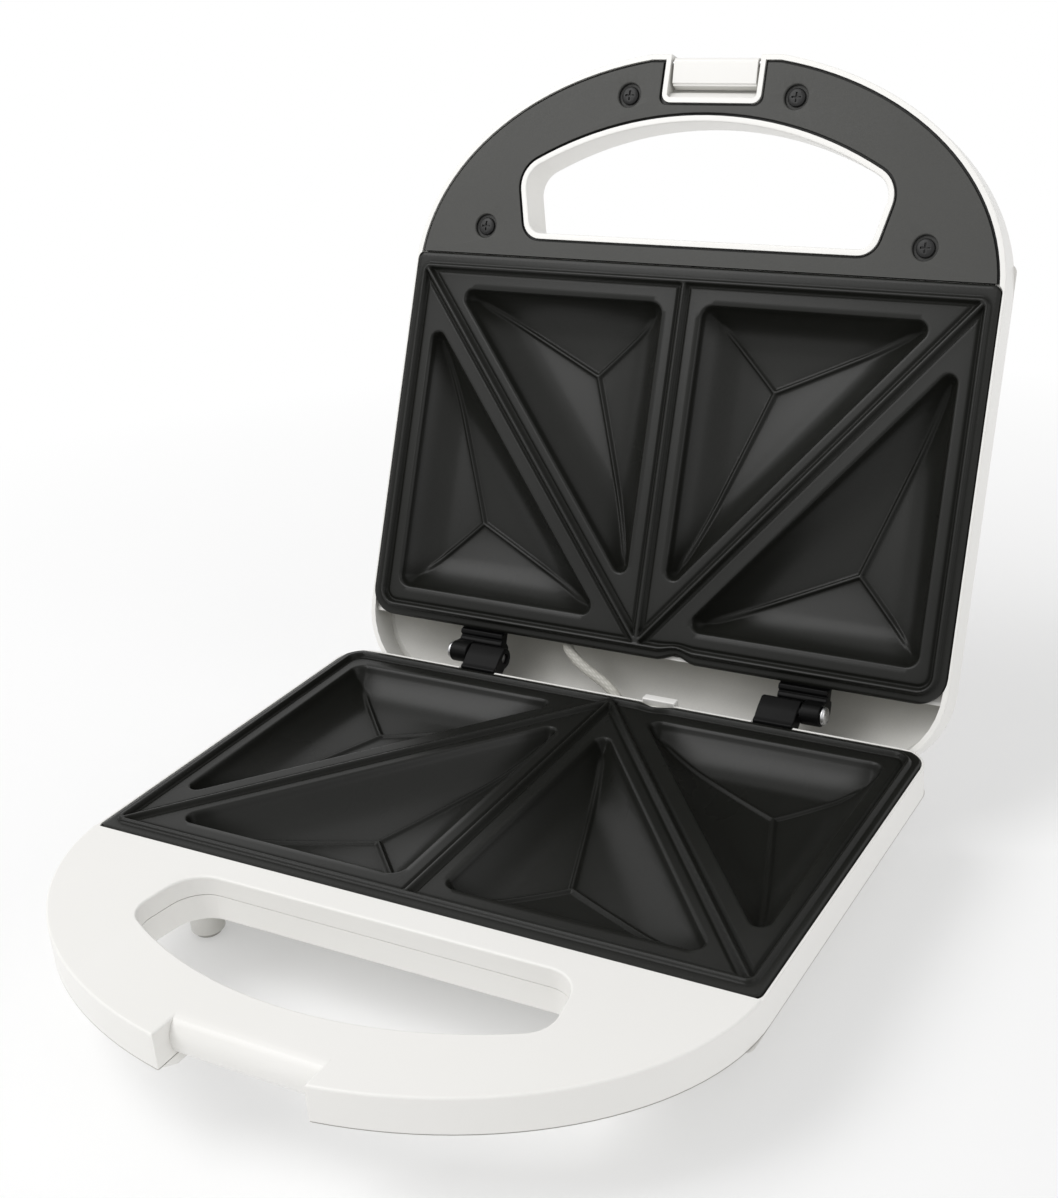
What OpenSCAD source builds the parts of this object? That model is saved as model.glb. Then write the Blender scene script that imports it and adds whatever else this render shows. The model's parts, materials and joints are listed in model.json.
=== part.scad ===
// Sandwich toaster with two hinged cooking plates, drawn open.
// Each half is laid out in the closed position: x to the right, y to the back from the
// line where the handle meets the plate, z up from the plane where the two plates meet.

/* [Cooking plates] */
// Width of each cooking plate over its flange
plate_w = 228; // [210:1:250]
// Depth from the handle line to the rear edge of the plate
plate_d = 139; // [130:1:150]
// Reach of the plate's front flange past the handle line
plate_nose = 1; // [0.5:0.5:2]
// Radius of the plate's rear corners
plate_corner_r = 10; // [6:1:16]
// Radius of the plate's front corners
plate_front_r = 3; // [2:0.5:5]
// Thickness of the flat land of the plate
plate_t = 2; // [1.6:0.1:2.6]
// Half of the gap between the two closed rims
rim_gap = 0.25; // [0.2:0.05:0.5]
// Height of the raised rim over the flange
rim_h = 1.2; // [0.8:0.1:1.6]
// Width of the flange outside the raised rim
flange_w = 3.2; // [2.5:0.1:4]
// Thickness of the flange
flange_t = 1.6; // [1.2:0.1:2]
// Width of the raised rim and of the sealing ridges
ridge_w = 3.4; // [2.5:0.1:4.5]
// Distance from the middle line to the inner pockets
pocket_mid = 9; // [7:0.5:12]
// Distance from the handle line to the inner pockets
pocket_front = 13; // [11:0.5:16]
// Distance from the plate's sides to the outer pockets
pocket_side = 11.2; // [10:0.2:14]
// Distance from the plate's rear edge to the outer pockets
pocket_rear = 12.2; // [11:0.2:15]
// Distance from the diagonal ridge to the pockets beside it
pocket_diagonal = 7.6; // [6.5:0.1:10]
// Depth of a pocket below the land at its walls
pocket_depth = 9; // [7:0.5:10]
// Extra depth of a pocket at the middle of its three facets
pocket_dish = 2.4; // [1:0.2:3]
// Inward slope of the pocket walls over their depth
pocket_draft = 5; // [3:0.5:6]
// Radius of a pocket's corners
pocket_r = 6; // [5.5:0.5:8]
// Width of the notch in the rear edge for the locating tab
tab_notch_w = 15; // [13:0.5:18]
// Depth of the notch in the rear edge
tab_notch_d = 2.2; // [1.5:0.1:2.6]
// Distance of the locating tab from the middle line
tab_x = 16; // [10:1:24]

/* [Housing] */
// Wall of the moulded housings
wall = 2; // [1.8:0.1:2.6]
// Clearance between a plate's edge and the housing round it
seat_gap = 0.3; // [0.2:0.05:0.5]
// Width of the housing's edge beside the plate
rim_edge = 0.9; // [0.7:0.1:1.4]
// Height of the upright band round each half
band_h = 9.6; // [9:0.1:10]
// Height of the plates' meeting plane above the table
seam_z = 40; // [38:1:46]
// Height of the lid above the meeting plane
lid_h = 42; // [38:1:48]
// Depth of the base's belly below the meeting plane
belly_h = 33.5; // [32:0.5:35]
// Overhang of the lid's housing behind the hinge axis
apron_reach = 16; // [13:0.5:18]
// Radius of the lid housing's rear corners
apron_r = 30; // [20:1:36]
// Clearance between flat pieces that are screwed together
joint_gap = 0.2; // [0.1:0.05:0.3]

/* [Handles] */
// Reach of the handles in front of the handle line
handle_reach = 77; // [70:1:84]
// Reach of the handle's rounded outline before its front is cut flat
handle_round = 79; // [78:0.5:90]
// Distance behind the handle line where the rounded outline starts
handle_start = 3.5; // [2:0.5:6]
// Thickness of each handle
handle_t = 15.3; // [14:0.1:17]
// Height of the base handle's top below the meeting plane
base_handle_drop = 1.2; // [1:0.1:1.6]
// Height of the lid handle's face above the meeting plane
lid_handle_lift = 1.8; // [1.5:0.1:2.4]
// Thickness of the lid's handle liner and the base's top cover
liner_t = 2; // [1.6:0.1:2.4]
// Half width of the opening in the handles
grip_half_w = 71.2; // [60:0.2:76]
// Front edge of the opening, in front of the handle line
grip_front = 53.5; // [48:0.5:56]
// Rear edge of the opening, in front of the handle line
grip_rear = 9.8; // [9:0.1:13]
// Radius of the opening's long front edge
grip_arc_r = 137; // [120:1:170]
// Radius of the opening's front corners
grip_front_r = 9; // [8:0.5:12]
// Radius of the opening's rear corners
grip_rear_r = 6; // [4:0.5:7]
// Width of the wall round the opening
grip_wall = 1.6; // [1.4:0.1:2]
// Depth of the top cover's share of the opening's wall
grip_skirt = 6.3; // [5:0.1:7]
// Distance of the two front handle screws from the middle
screw_front_x = 32.5; // [30:0.5:40]
// Distance of the two front handle screws in front of the handle line
screw_front_y = 62; // [61:0.5:64]
// Distance of the two side handle screws from the middle
screw_side_x = 86; // [84:0.5:92]
// Distance of the two side handle screws in front of the handle line
screw_side_y = 12; // [10:0.5:16]

/* [Hinge] */
// Distance of the hinge axis behind the plate's rear edge
hinge_back = 9.3; // [9:0.1:11]
// Angle to which the lid opens
open_angle = 114; // [95:1:120]
// Inner side of the base hinge block from the middle line
block_x = 51.5; // [45:0.5:60]
// Width of the base hinge block
block_w = 14.5; // [12:0.5:18]
// Width of the lid hinge's ear
ear_w = 7; // [5:0.5:9]
// Side clearance between the block and the ear
ear_gap = 0.6; // [0.4:0.1:1]
// Radius of the hinge barrels
barrel_r = 5; // [4.6:0.1:5.4]
// Clearance between the base barrel and the lid's leaf
barrel_gap = 0.6; // [0.5:0.1:1]
// Diameter of the hinge pins
pin_d = 4; // [3:0.1:4.5]
// Radial clearance of a pin in its ear
pin_play = 0.06; // [0.03:0.01:0.1]
// Radial clearance of a pin where it is held
pin_hold = 0.02; // [0.01:0.01:0.04]
// Thickness of the hinges' fixing tongues
tongue_t = 3; // [2.4:0.1:3.6]

/* [Latch] */
// Width of the latch recess in the lid
recess_w = 35; // [33:0.5:40]
// Distance from the lid's front edge to the end of the recess
recess_l = 15; // [14:0.5:17]
// Width of the white edge round the latch recess
recess_edge = 1.8; // [1.4:0.1:2.2]
// Depth of the latch recess below the handle's face
recess_depth = 6.2; // [6:0.1:8]
// Width of the latch clip
clip_w = 31; // [28:0.5:32]
// Length of the clip from its pivot to its free edge
clip_l = 9; // [8.8:0.1:9.6]
// Thickness of the clip
clip_t = 1.8; // [1.4:0.1:2]
// Height of the hook at the clip's free edge
hook_h = 2.2; // [1.6:0.1:2.4]
// Thickness of the hook
hook_t = 1.2; // [1:0.1:1.3]
// Distance of the clip's pivot behind the handle's front edge
pivot_in = 2.8; // [2.5:0.1:3]
// Height of the clip's pivot above the lid handle's face
pivot_up = 2.1; // [2.1:0.1:2.4]
// Diameter of the latch pin
latch_pin_d = 2; // [1.6:0.1:2.2]
// Half width of the notch in the base handle's front
catch_half_w = 24.5; // [22:0.5:25]
// Clearance of the clip round the catch bar
catch_gap = 0.5; // [0.4:0.1:0.7]
// Thickness of the catch bar under the base handle's top
catch_t = 2.2; // [1.8:0.1:2.3]

/* [Feet and fixings] */
// Distance of the feet from the middle line
foot_x = 84; // [76:1:88]
// Distance of the front feet behind the handle line
foot_front_y = 9; // [6:1:20]
// Distance of the rear feet in front of the plate's rear edge
foot_rear_y = 6; // [6:1:20]
// Diameter of the moulded legs
leg_d = 11; // [9:0.5:13]
// Diameter of the rubber pads
pad_d = 8.6; // [6:0.2:9]
// Height of the rubber pads below the legs
pad_h = 1.6; // [1:0.1:2.5]
// Diameter of the screws in the handles
screw_d = 3; // [2.5:0.1:3.5]
// Diameter of the handle screws' heads
screw_head_d = 6; // [5:0.1:6.5]
// Diameter of the wells that the handle screws sit in
screw_well_d = 9; // [8:0.5:10]
// Diameter of the plate posts and of the housing's screw bosses
post_d = 7.2; // [7:0.1:8]
// Distance of the front post behind the handle line
post_front_y = 20; // [18:1:24]
// Distance of the rear post in front of the plate's rear edge
post_rear_y = 29; // [26:1:32]

/* [Heating and electrics] */
// Diameter of the tubular heating element
element_d = 6.6; // [6:0.1:7]
// Half of the distance between the element's straight runs
element_half = 31.5; // [28:0.5:33]
// Half length of the element's straight runs
element_run = 54; // [48:1:56]
// Distance of the element's middle behind the handle line
element_y = 66; // [62:1:72]
// Half distance between the element's two ends
element_end = 14; // [12:0.5:18]
// Length of the element's legs behind the rear run
element_leg = 16; // [10:1:18]
// Half width of the heat reflector
reflector_half_w = 86; // [80:1:88]
// Thickness of the heat reflector
reflector_t = 0.8; // [0.6:0.1:1]
// Diameter of the thermostat
thermostat_d = 13; // [10:0.5:14]
// Height of the thermostat
thermostat_h = 9; // [7:0.5:11]
// Bore of the cord gland
gland_bore = 7.2; // [6.4:0.1:8]
// Outer diameter of the cord gland's body
gland_d = 11; // [10:0.5:12]
// Length of the cord gland outside the housing
gland_out = 10; // [8:0.5:12]
// Distance of the cord gland from the middle line
gland_x = -40; // [-45:1:-25]
// Clearance between the cord gland's inner collar and the belly's floor
gland_floor_gap = 0.5; // [0.4:0.1:0.8]
// Diameter of the indicator lenses
lens_d = 8; // [6:0.5:10]
// Distance of the indicator lenses from the middle line
lens_x = 14; // [10:1:20]
// Distance of the indicator lenses behind the handle line
lens_y = 40; // [34:1:60]
// Diameter of the sleeved lead between the two halves
sleeve_d = 3.8; // [3:0.1:4.4]

/* [Hidden] */
$fn = 48;

arc_n = 10;          // steps in a corner's arc
curve_n = 20;        // steps in a handle's or opening's long curve
slab = 0.01;         // thickness of the slices that a blended form is stretched over
through = 1;         // overshoot of a cut past the face that it opens

// Colours
white = [0.95, 0.95, 0.93];
black = [0.10, 0.10, 0.10];
dark_grey = [0.28, 0.28, 0.27];
coating = [0.16, 0.16, 0.16];
steel = [0.75, 0.75, 0.76];
pale_grey = [0.72, 0.71, 0.68];

// Levels, as heights from the meeting plane towards the outside of either half
crest = rim_gap;
flange_top = crest + rim_h;
land_top = flange_top + 0.2;
land_back = land_top + plate_t;
flange_back = flange_top + flange_t;
edge_top = flange_top + 0.4;
band_end = edge_top + band_h;
pocket_floor = land_top + pocket_depth;
plate_back = pocket_floor + pocket_dish + 1.4;
element_z = plate_back + joint_gap + element_d / 2;
reflector_z = element_z + element_d / 2 + joint_gap;
handle_back = base_handle_drop + handle_t;
lid_handle_back = lid_handle_lift + handle_t;
cover_back = base_handle_drop + liner_t;
liner_back = lid_handle_lift + liner_t;
shell_top = band_end + joint_gap;
well_depth = 3;                          // depth of the wells of the base handle's screws
tip_gap = 1.3;                           // room beyond a handle screw's tip

// Plan of the housings
half_w = plate_w / 2 + seat_gap + rim_edge;
base_rear = plate_d + seat_gap + rim_edge;
hinge_y = plate_d + hinge_back;
lid_rear = hinge_y + apron_reach;
handle_front = -handle_reach;
slope_in = handle_t / 2;                 // inset of a handle's back round its outline

// Blended forms of the two housings: insets of each slice at the sides, front and rear
belly_mid_in = 8.6;
belly_foot_in = 32;
belly_foot_front = 23;
belly_foot_rear = 4;
crown_mid_h = 26;
crown_mid_in = 12;
crown_mid_rear = 22;
crown_in = 30;
crown_rear = 45;
lid_crown_front = 18;
lid_mid_front = 2;
body_front = -grip_rear - joint_gap;     // front wall of the body, behind the opening

// The lid's lean when open, and the place of the whole part
function open_y(p) = hinge_y + (p[0] - hinge_y) * cos(open_angle) + p[1] * sin(open_angle);
lid_outline_points = [
    [handle_front, lid_handle_back - slope_in], [handle_front + slope_in, lid_handle_back],
    [lid_crown_front, lid_h]
];
rear_most = max([for (p = lid_outline_points) open_y(p)]);
middle_y = (handle_front + rear_most) / 2;

function arc(c, r, a0, a1, n) = [
    for (i = [0:n]) let (a = a0 + (a1 - a0) * i / n) c + r * [cos(a), sin(a)]
];
function mirror_x(points) = [for (i = [len(points) - 1:-1:0]) [-points[i][0], points[i][1]]];

// Outline of a housing, moved in by d, with its rear edge at y = rear
function housing(d, rear, corner) =
    let (a = half_w - d, b = handle_round + handle_start - d,
         cut = asin((handle_front + d - handle_start) / b),
         turn = rear - corner < handle_start ? asin(min(0, (rear - handle_start) / b)) : 0,
         side = concat(
             [for (i = [0:curve_n]) let (t = cut + (turn - cut) * i / curve_n)
                 [a * cos(t), handle_start + b * sin(t)]],
             rear - corner < handle_start ? [] : arc([a - corner, rear - corner], corner, 0, 90, arc_n)))
    concat(side, mirror_x(side));

// Outline of the handle opening, grown by g
grip_c = [0, grip_arc_r - grip_front];
grip_turn = asin((grip_half_w - grip_front_r) / (grip_arc_r - grip_front_r));
grip_c1 = grip_c + (grip_arc_r - grip_front_r) * [sin(grip_turn), -cos(grip_turn)];
grip_c2 = [grip_c1[0], -grip_rear - grip_rear_r];
grip_lean = asin((grip_front_r - grip_rear_r) / (grip_c2[1] - grip_c1[1]));
function grip(g) =
    let (side = concat(
        arc(grip_c, grip_arc_r + g, -90, -90 + grip_turn, curve_n / 2),
        arc(grip_c1, grip_front_r + g, -90 + grip_turn + 6, grip_lean, arc_n),
        arc(grip_c2, grip_rear_r + g, grip_lean + 6, 90, arc_n)))
    concat([for (i = [1:len(side) - 1]) side[i]], mirror_x(side));

// Rounded rectangle between two y values, with its own front and rear corner radii
function body(half, y0, y1, r0, r1) =
    let (side = concat(arc([half - r0, y0 + r0], r0, -90, 0, arc_n),
                       arc([half - r1, y1 - r1], r1, 0, 90, arc_n)))
    concat(side, mirror_x(side));

module slice(points, z) translate([0, 0, z]) linear_extrude(slab) polygon(points);
module prism(points, z0, z1) translate([0, 0, z0]) linear_extrude(z1 - z0) polygon(points);
module block(x0, x1, y0, y1, z0, z1) translate([x0, y0, z0]) cube([x1 - x0, y1 - y0, z1 - z0]);
module rod(d, p, z0, z1) translate([p[0], p[1], z0]) cylinder(d = d, h = z1 - z0);
module cross_rod(d, x0, x1, y, z) translate([x0, y, z]) rotate([0, 90, 0]) cylinder(d = d, h = x1 - x0);

// A half's own frame to the part's frame. Both halves are drawn with z away from the other.
module in_base() translate([0, -middle_y, seam_z]) mirror([0, 0, 1]) children();
module in_lid()
    translate([0, hinge_y - middle_y, seam_z]) rotate([-open_angle, 0, 0]) translate([0, -hinge_y, 0])
        children();
module both_sides() { children(); mirror([1, 0, 0]) children(); }

screw_places = [
    [screw_front_x, -screw_front_y], [-screw_front_x, -screw_front_y],
    [screw_side_x, -screw_side_y], [-screw_side_x, -screw_side_y]
];
posts = [[0, post_front_y], [0, plate_d - post_rear_y]];
feet = [for (sx = [-1, 1], y = [foot_front_y, plate_d - foot_rear_y]) [sx * foot_x, y]];

// ---- Cooking plates ----

// Corners of a pocket's triangle: an inner one by the middle line, an outer one by the side
diagonal_from = [plate_w / 2 - flange_w - ridge_w, handle_start + ridge_w];
diagonal_to = [ridge_w / 2, plate_d - flange_w - ridge_w];
diagonal_run = diagonal_to - diagonal_from;
diagonal_n = [diagonal_run[1], -diagonal_run[0]] / norm(diagonal_run);
diagonal_c = diagonal_n * diagonal_from;
function on_hypotenuse_x(y, off) = (diagonal_c + off - diagonal_n[1] * y) / diagonal_n[0];
function on_hypotenuse_y(x, off) = (diagonal_c + off - diagonal_n[0] * x) / diagonal_n[1];
inner_pocket = [
    [pocket_mid, pocket_front],
    [on_hypotenuse_x(pocket_front, -pocket_diagonal), pocket_front],
    [pocket_mid, on_hypotenuse_y(pocket_mid, -pocket_diagonal)]
];
step_out = 1.2;                          // metal round a pocket's mouth, on the back
pocket_out_x = plate_w / 2 - pocket_side;
pocket_out_y = plate_d - pocket_rear;
outer_pocket = [
    [pocket_out_x, pocket_out_y],
    [on_hypotenuse_x(pocket_out_y, pocket_diagonal), pocket_out_y],
    [pocket_out_x, on_hypotenuse_y(pocket_out_x, pocket_diagonal)]
];
function side_len(t, i) = norm(t[(i + 1) % 3] - t[(i + 2) % 3]);
function incentre(t) =
    (side_len(t, 0) * t[0] + side_len(t, 1) * t[1] + side_len(t, 2) * t[2])
    / (side_len(t, 0) + side_len(t, 1) + side_len(t, 2));
function inradius(t) =
    abs((t[1] - t[0])[0] * (t[2] - t[0])[1] - (t[1] - t[0])[1] * (t[2] - t[0])[0])
    / (side_len(t, 0) + side_len(t, 1) + side_len(t, 2));
function inset(t, d) = [for (p = t) incentre(t) + (p - incentre(t)) * (1 - d / inradius(t))];

module triangle_corners(t, r, z)
    for (p = inset(t, r)) translate([p[0], p[1], z]) cylinder(r = r, h = slab, $fn = 32);

module pocket(t)
    hull() {
        triangle_corners(inset(t, -pocket_draft * through / pocket_depth), pocket_r, land_top - through);
        triangle_corners(inset(t, pocket_draft), pocket_r - 2, pocket_floor);
        translate([incentre(t)[0], incentre(t)[1], pocket_floor + pocket_dish])
            cylinder(r = 1, h = slab, $fn = 32);
    }

module plate_outline_prism(d, z0, z1)
    prism(body(plate_w / 2 - d, -plate_nose + d, plate_d - d, plate_front_r, plate_corner_r - d), z0, z1);

module ridge(p0, p1, w, z0, z1)
    let (v = p1 - p0)
    translate([p0[0], p0[1], z0]) rotate([0, 0, atan2(v[1], v[0])])
        translate([0, -w / 2, 0]) cube([norm(v), w, z1 - z0]);

module cooking_plate(hinge_holes) {
    rim_in = flange_w + ridge_w;
    rim_front = handle_start + ridge_w;
    difference() {
        union() {
            plate_outline_prism(0, flange_top, flange_back);
            plate_outline_prism(flange_w, land_top, land_back);
            difference() {
                prism(body(plate_w / 2 - flange_w, handle_start, plate_d - flange_w,
                           plate_front_r, plate_corner_r - flange_w), crest, land_top);
                prism(body(plate_w / 2 - rim_in, rim_front, plate_d - rim_in,
                           plate_front_r, plate_corner_r - rim_in), crest - through, land_top + through);
            }
            ridge([0, handle_start + 1], [0, plate_d - flange_w - 1], ridge_w, crest + 0.2, land_back);
            both_sides() ridge(diagonal_from, diagonal_to, ridge_w, crest + 0.2, land_back);
            both_sides() for (t = [inner_pocket, outer_pocket]) {
                prism(inset(t, -step_out), land_top, land_top + pocket_depth * 0.8);
                prism(inset(t, pocket_draft - 1.8), land_top, plate_back);
            }
            for (p = posts) rod(post_d, p, land_top, reflector_z);
        }
        both_sides() for (t = [inner_pocket, outer_pocket]) pocket(t);
        for (p = posts) rod(screw_d - 0.4, p, land_back + 2, reflector_z + through);
        both_sides() for (x = hinge_holes)
            rod(screw_d - 0.4, [x, hinge_screw_y], flange_top + 0.1, land_back + through);
        translate([tab_x, plate_d, crest - through])
            linear_extrude(flange_back + through)
                polygon([[-tab_notch_w / 2, 1], [-tab_notch_w / 2, 0], [0, -tab_notch_d],
                         [tab_notch_w / 2, 0], [tab_notch_w / 2, 1]]);
    }
}

// ---- Heating ----

module element_turn(x, a0, a1)
    translate([x, element_y, element_z]) rotate([0, 0, a0])
        rotate_extrude(angle = a1 - a0) translate([element_half, 0]) circle(d = element_d);

module heating_element() {
    rear_run = element_y + element_half;
    bend = element_d;
    cross_rod(element_d, -element_run, element_run, element_y - element_half, element_z);
    both_sides() {
        element_turn(element_run, -90, 90);
        cross_rod(element_d, element_end + bend, element_run, rear_run, element_z);
        translate([element_end + bend, rear_run + bend, element_z]) rotate([0, 0, 180])
            rotate_extrude(angle = 90) translate([bend, 0]) circle(d = element_d);
        translate([element_end, rear_run + bend, element_z]) rotate([-90, 0, 0])
            cylinder(d = element_d, h = element_leg - bend);
        translate([element_end, rear_run + element_leg, element_z]) rotate([-90, 0, 0])
            cylinder(d = 2.4, h = 5);
    }
}

module reflector()
    difference() {
        prism(body(reflector_half_w, post_front_y - 6, plate_d - 18, 8, 8), reflector_z,
              reflector_z + reflector_t);
        for (p = posts) rod(screw_d + 0.4, p, reflector_z - through, reflector_z + reflector_t + through);
    }

// Screw with its head's bearing face at z0 and its tip towards smaller z
module screw(p, z0, length, head_d, head_h) {
    rod(screw_d - 0.5, p, z0 - length, z0);
    difference() {
        rod(head_d, p, z0, z0 + head_h);
        translate([p[0], p[1], z0 + head_h / 2]) {
            translate([-head_d / 3, -0.4, 0]) cube([head_d * 2 / 3, 0.8, head_h]);
            translate([-0.4, -head_d / 3, 0]) cube([0.8, head_d * 2 / 3, head_h]);
        }
    }
}

// ---- Base ----

module base_shell() {
    wall_top = base_handle_drop + grip_skirt + joint_gap;
    boss_top = reflector_z + reflector_t;
    color(white) in_base() difference() {
        union() {
            hull() {
                slice(body(half_w, body_front, base_rear, 3, plate_corner_r), shell_top);
                slice(body(half_w - belly_mid_in, body_front, base_rear - 0.4, 8, plate_corner_r), handle_back);
                slice(body(half_w - belly_foot_in, belly_foot_front, base_rear - belly_foot_rear, 10, 10),
                      belly_h - slab);
            }
            hull() {
                slice(housing(0, handle_start, 1), shell_top);
                slice(housing(slope_in, handle_start, 1), handle_back - slab);
            }
            for (p = feet) rod(leg_d, p, shell_top, seam_z - pad_h);
            prism(grip(grip_wall), wall_top, shell_top + through);
        }
        difference() {
            union() {
                hull() {
                    slice(body(half_w - 3, body_front + grip_wall, base_rear - wall, 3, plate_corner_r - 2),
                          shell_top - through);
                    slice(body(half_w - belly_mid_in - 3, body_front + grip_wall + wall, base_rear - wall - 0.4,
                               6, plate_corner_r - 2), handle_back);
                    slice(body(half_w - belly_foot_in - 1, belly_foot_front + 1.5,
                               base_rear - belly_foot_rear - wall, 8, 8), belly_h - wall);
                }
                hull() {
                    slice(housing(wall, -1, 1), shell_top - through);
                    slice(housing(slope_in + wall, -3, 1), handle_back - wall);
                }
            }
            prism(grip(grip_wall), wall_top - through, handle_back + through);
            block(-half_w, half_w, body_front, body_front + grip_wall, shell_top - 2 * through,
                  handle_back + through);
            for (p = screw_places) rod(post_d, p, cover_back, handle_back + through);
            for (p = posts) rod(post_d, p, boss_top, belly_h + through);
            for (p = feet) rod(leg_d, p, handle_back, seam_z);
            block(-catch_half_w - wall, catch_half_w + wall, handle_front, catch_wall_y + wall,
                  shell_top - 2 * through, handle_back + through);
        }
        prism(grip(0), wall_top - through, handle_back + through);
        block(-catch_half_w, catch_half_w, handle_front - through, catch_wall_y, shell_top - through,
              handle_back + through);
        for (p = screw_places) {
            rod(screw_d, p, shell_top - 3 * through, handle_back + through);
            rod(screw_well_d - 2, p, handle_back - well_depth, handle_back + through);
        }
        for (p = posts) {
            rod(screw_d, p, boss_top - through, belly_h + through);
            rod(screw_well_d - 2, p, belly_h - 4, belly_h + through);
        }
        for (p = feet) rod(pad_d + 0.2, p, seam_z - pad_h - 1.5, seam_z + through);
        translate([gland_x, base_rear + through, clamp_z]) rotate([90, 0, 0])
            cylinder(d = gland_d + 0.2, h = 12);
    }
}

catch_nose_y = handle_front + pivot_in + clip_t / 2 + catch_gap;
catch_wall_y = catch_nose_y + hook_h + 0.5;

module base_top_frame() {
    color(white) in_base() {
        difference() {
            prism(housing(0, base_rear, plate_corner_r + seat_gap + rim_edge), base_handle_drop, band_end);
            // The rim beside the plate is a little lower than the handle
            block(-half_w - through, half_w + through, -plate_nose - seat_gap, base_rear + through,
                  base_handle_drop - through, edge_top);
            // The seat of the plate's flange, and the opening under it
            prism(body(plate_w / 2 + seat_gap, -plate_nose - seat_gap, plate_d + seat_gap, plate_front_r,
                       plate_corner_r), base_handle_drop - through, flange_back);
            prism(body(plate_w / 2 - flange_w + seat_gap, flange_w - plate_nose - seat_gap,
                       plate_d - flange_w + seat_gap, plate_front_r, plate_corner_r - flange_w),
                  flange_back - through, band_end + through);
            // The hollow under the handle's top
            difference() {
                prism(housing(wall, -plate_nose - seat_gap, 1), cover_back, band_end + through);
                prism(grip(grip_wall), cover_back - through, base_handle_drop + grip_skirt);
                block(-catch_half_w - wall, catch_half_w + wall, handle_front, catch_wall_y + wall,
                      cover_back - through, band_end + 2 * through);
                for (p = screw_places) rod(post_d, p, cover_back - through, shell_top - joint_gap);
            }
            prism(grip(0), base_handle_drop - through, band_end + through);
            for (p = screw_places) rod(screw_d - 0.4, p, cover_back, band_end + through);
            // The front notch, with the catch bar's rounded nose left in it
            block(-catch_half_w, catch_half_w, handle_front - through, catch_wall_y,
                  base_handle_drop - through, band_end + through);
            // The slots for the hinge blocks and the sleeved lead
            both_sides() block(block_x - seat_gap, block_x + block_w + seat_gap, tongue_y - seat_gap,
                  base_rear + through, edge_top - through, head_top + joint_gap);
            block(sleeve_base_x - sleeve_d, sleeve_base_x + sleeve_d, plate_d - flange_w - 1,
                  base_rear + through, flange_back + 0.4, band_end + through);
        }
        catch_bar();
        // The locating tab on the rear rim
        block(tab_x - tab_notch_w / 2 + 1, tab_x + tab_notch_w / 2 - 1, plate_d + seat_gap, base_rear + 3,
              0.4, edge_top + 3);
    }
}

module catch_bar()
    translate([-catch_half_w, 0, 0]) rotate([90, 0, 90]) linear_extrude(2 * catch_half_w)
        polygon(concat(
            [for (i = [0:arc_n]) let (a = 90 * i / arc_n)
                [catch_wall_y - (catch_wall_y - catch_nose_y) * sin(a),
                 base_handle_drop + catch_t * (1 - cos(a))]],
            [[catch_wall_y, base_handle_drop + catch_t]]));

module base_shell_screws()
    color(steel) in_base() for (p = screw_places)
        screw(p, handle_back - well_depth, handle_back - well_depth - cover_back - tip_gap,
              screw_head_d - 0.6, 2);

module base_cooking_plate()
    color(coating) in_base() cooking_plate(hinge_screw_x(block_x, block_w));

module base_plate_screws()
    color(steel) in_base() for (p = posts)
        screw(p, belly_h - 4, belly_h - 4 - reflector_z - reflector_t + 6, screw_head_d - 0.6, 2);

module base_heating_element() color(steel) in_base() heating_element();

module base_reflector() color(steel) in_base() reflector();

thermostat_y = (post_front_y + plate_d - post_rear_y) / 2;

module thermostat()
    color(pale_grey) in_base() {
        rod(thermostat_d, [0, thermostat_y], land_back, land_back + thermostat_h);
        for (sx = [-1, 1])
            block(sx * 3.2 - 1, sx * 3.2 + 1, thermostat_y - 3, thermostat_y + 3, land_back + thermostat_h,
                  land_back + thermostat_h + 4);
    }

module thermal_fuse()
    color(white) in_base() translate([0, post_front_y + 8, land_back + 2.2]) rotate([-90, 0, 0]) {
        cylinder(d = 4, h = 16);
        for (y = [-3, 16]) translate([0, 0, y]) cylinder(d = 1.2, h = 3);
        translate([-2, -2.2, 4]) cube([4, 2, 8]);
    }

terminal_y = plate_d - 18;

module terminal_block()
    color(white) in_base() difference() {
        block(-14, 14, terminal_y - 6, terminal_y + 6, reflector_z + reflector_t + 0.4, belly_h - wall);
        for (x = [-9, 0, 9])
            rod(3.6, [x, terminal_y], reflector_z + reflector_t, reflector_z + reflector_t + 5);
    }

// The rear wall leans, so the gland's collars stand clear of it at their edges
gland_collar_d = gland_d + 3;
clamp_z = belly_h - wall - gland_collar_d / 2 - gland_floor_gap;
gland_wall = base_rear - 0.4 - (belly_foot_rear - 0.4) * (clamp_z - handle_back) / (belly_h - handle_back);
gland_lean = 1.8;
gland_in = wall + 2 * gland_lean;

module cord_gland()
    color(black) in_base() translate([gland_x, gland_wall + gland_lean, clamp_z]) rotate([-90, 0, 0])
        difference() {
            union() {
                translate([0, 0, -gland_in - 2]) cylinder(d = gland_d, h = gland_in + 2);
                translate([0, 0, -gland_in - 2]) cylinder(d = gland_collar_d, h = 2);
                cylinder(d = gland_collar_d, h = 2);
                translate([0, 0, 2 - slab]) cylinder(d1 = gland_d, d2 = gland_d - 1.6, h = gland_out - 2);
            }
            translate([0, 0, -gland_in - 3]) cylinder(d = gland_bore, h = gland_in + gland_out + 4);
        }

clamp_y = base_rear - 14;
clamp_half = 9;

module cord_clamp()
    color(white) in_base() difference() {
        block(gland_x - clamp_half - 3, gland_x + clamp_half + 3, clamp_y - 3, clamp_y + 3, clamp_z - 2.2,
              belly_h - wall);
        translate([gland_x, clamp_y - 4, clamp_z]) rotate([-90, 0, 0]) cylinder(d = gland_bore + 0.2, h = 8);
        for (sx = [-1, 1]) rod(2.4, [gland_x + sx * clamp_half, clamp_y], clamp_z - 3, clamp_z + 4);
    }

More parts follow.
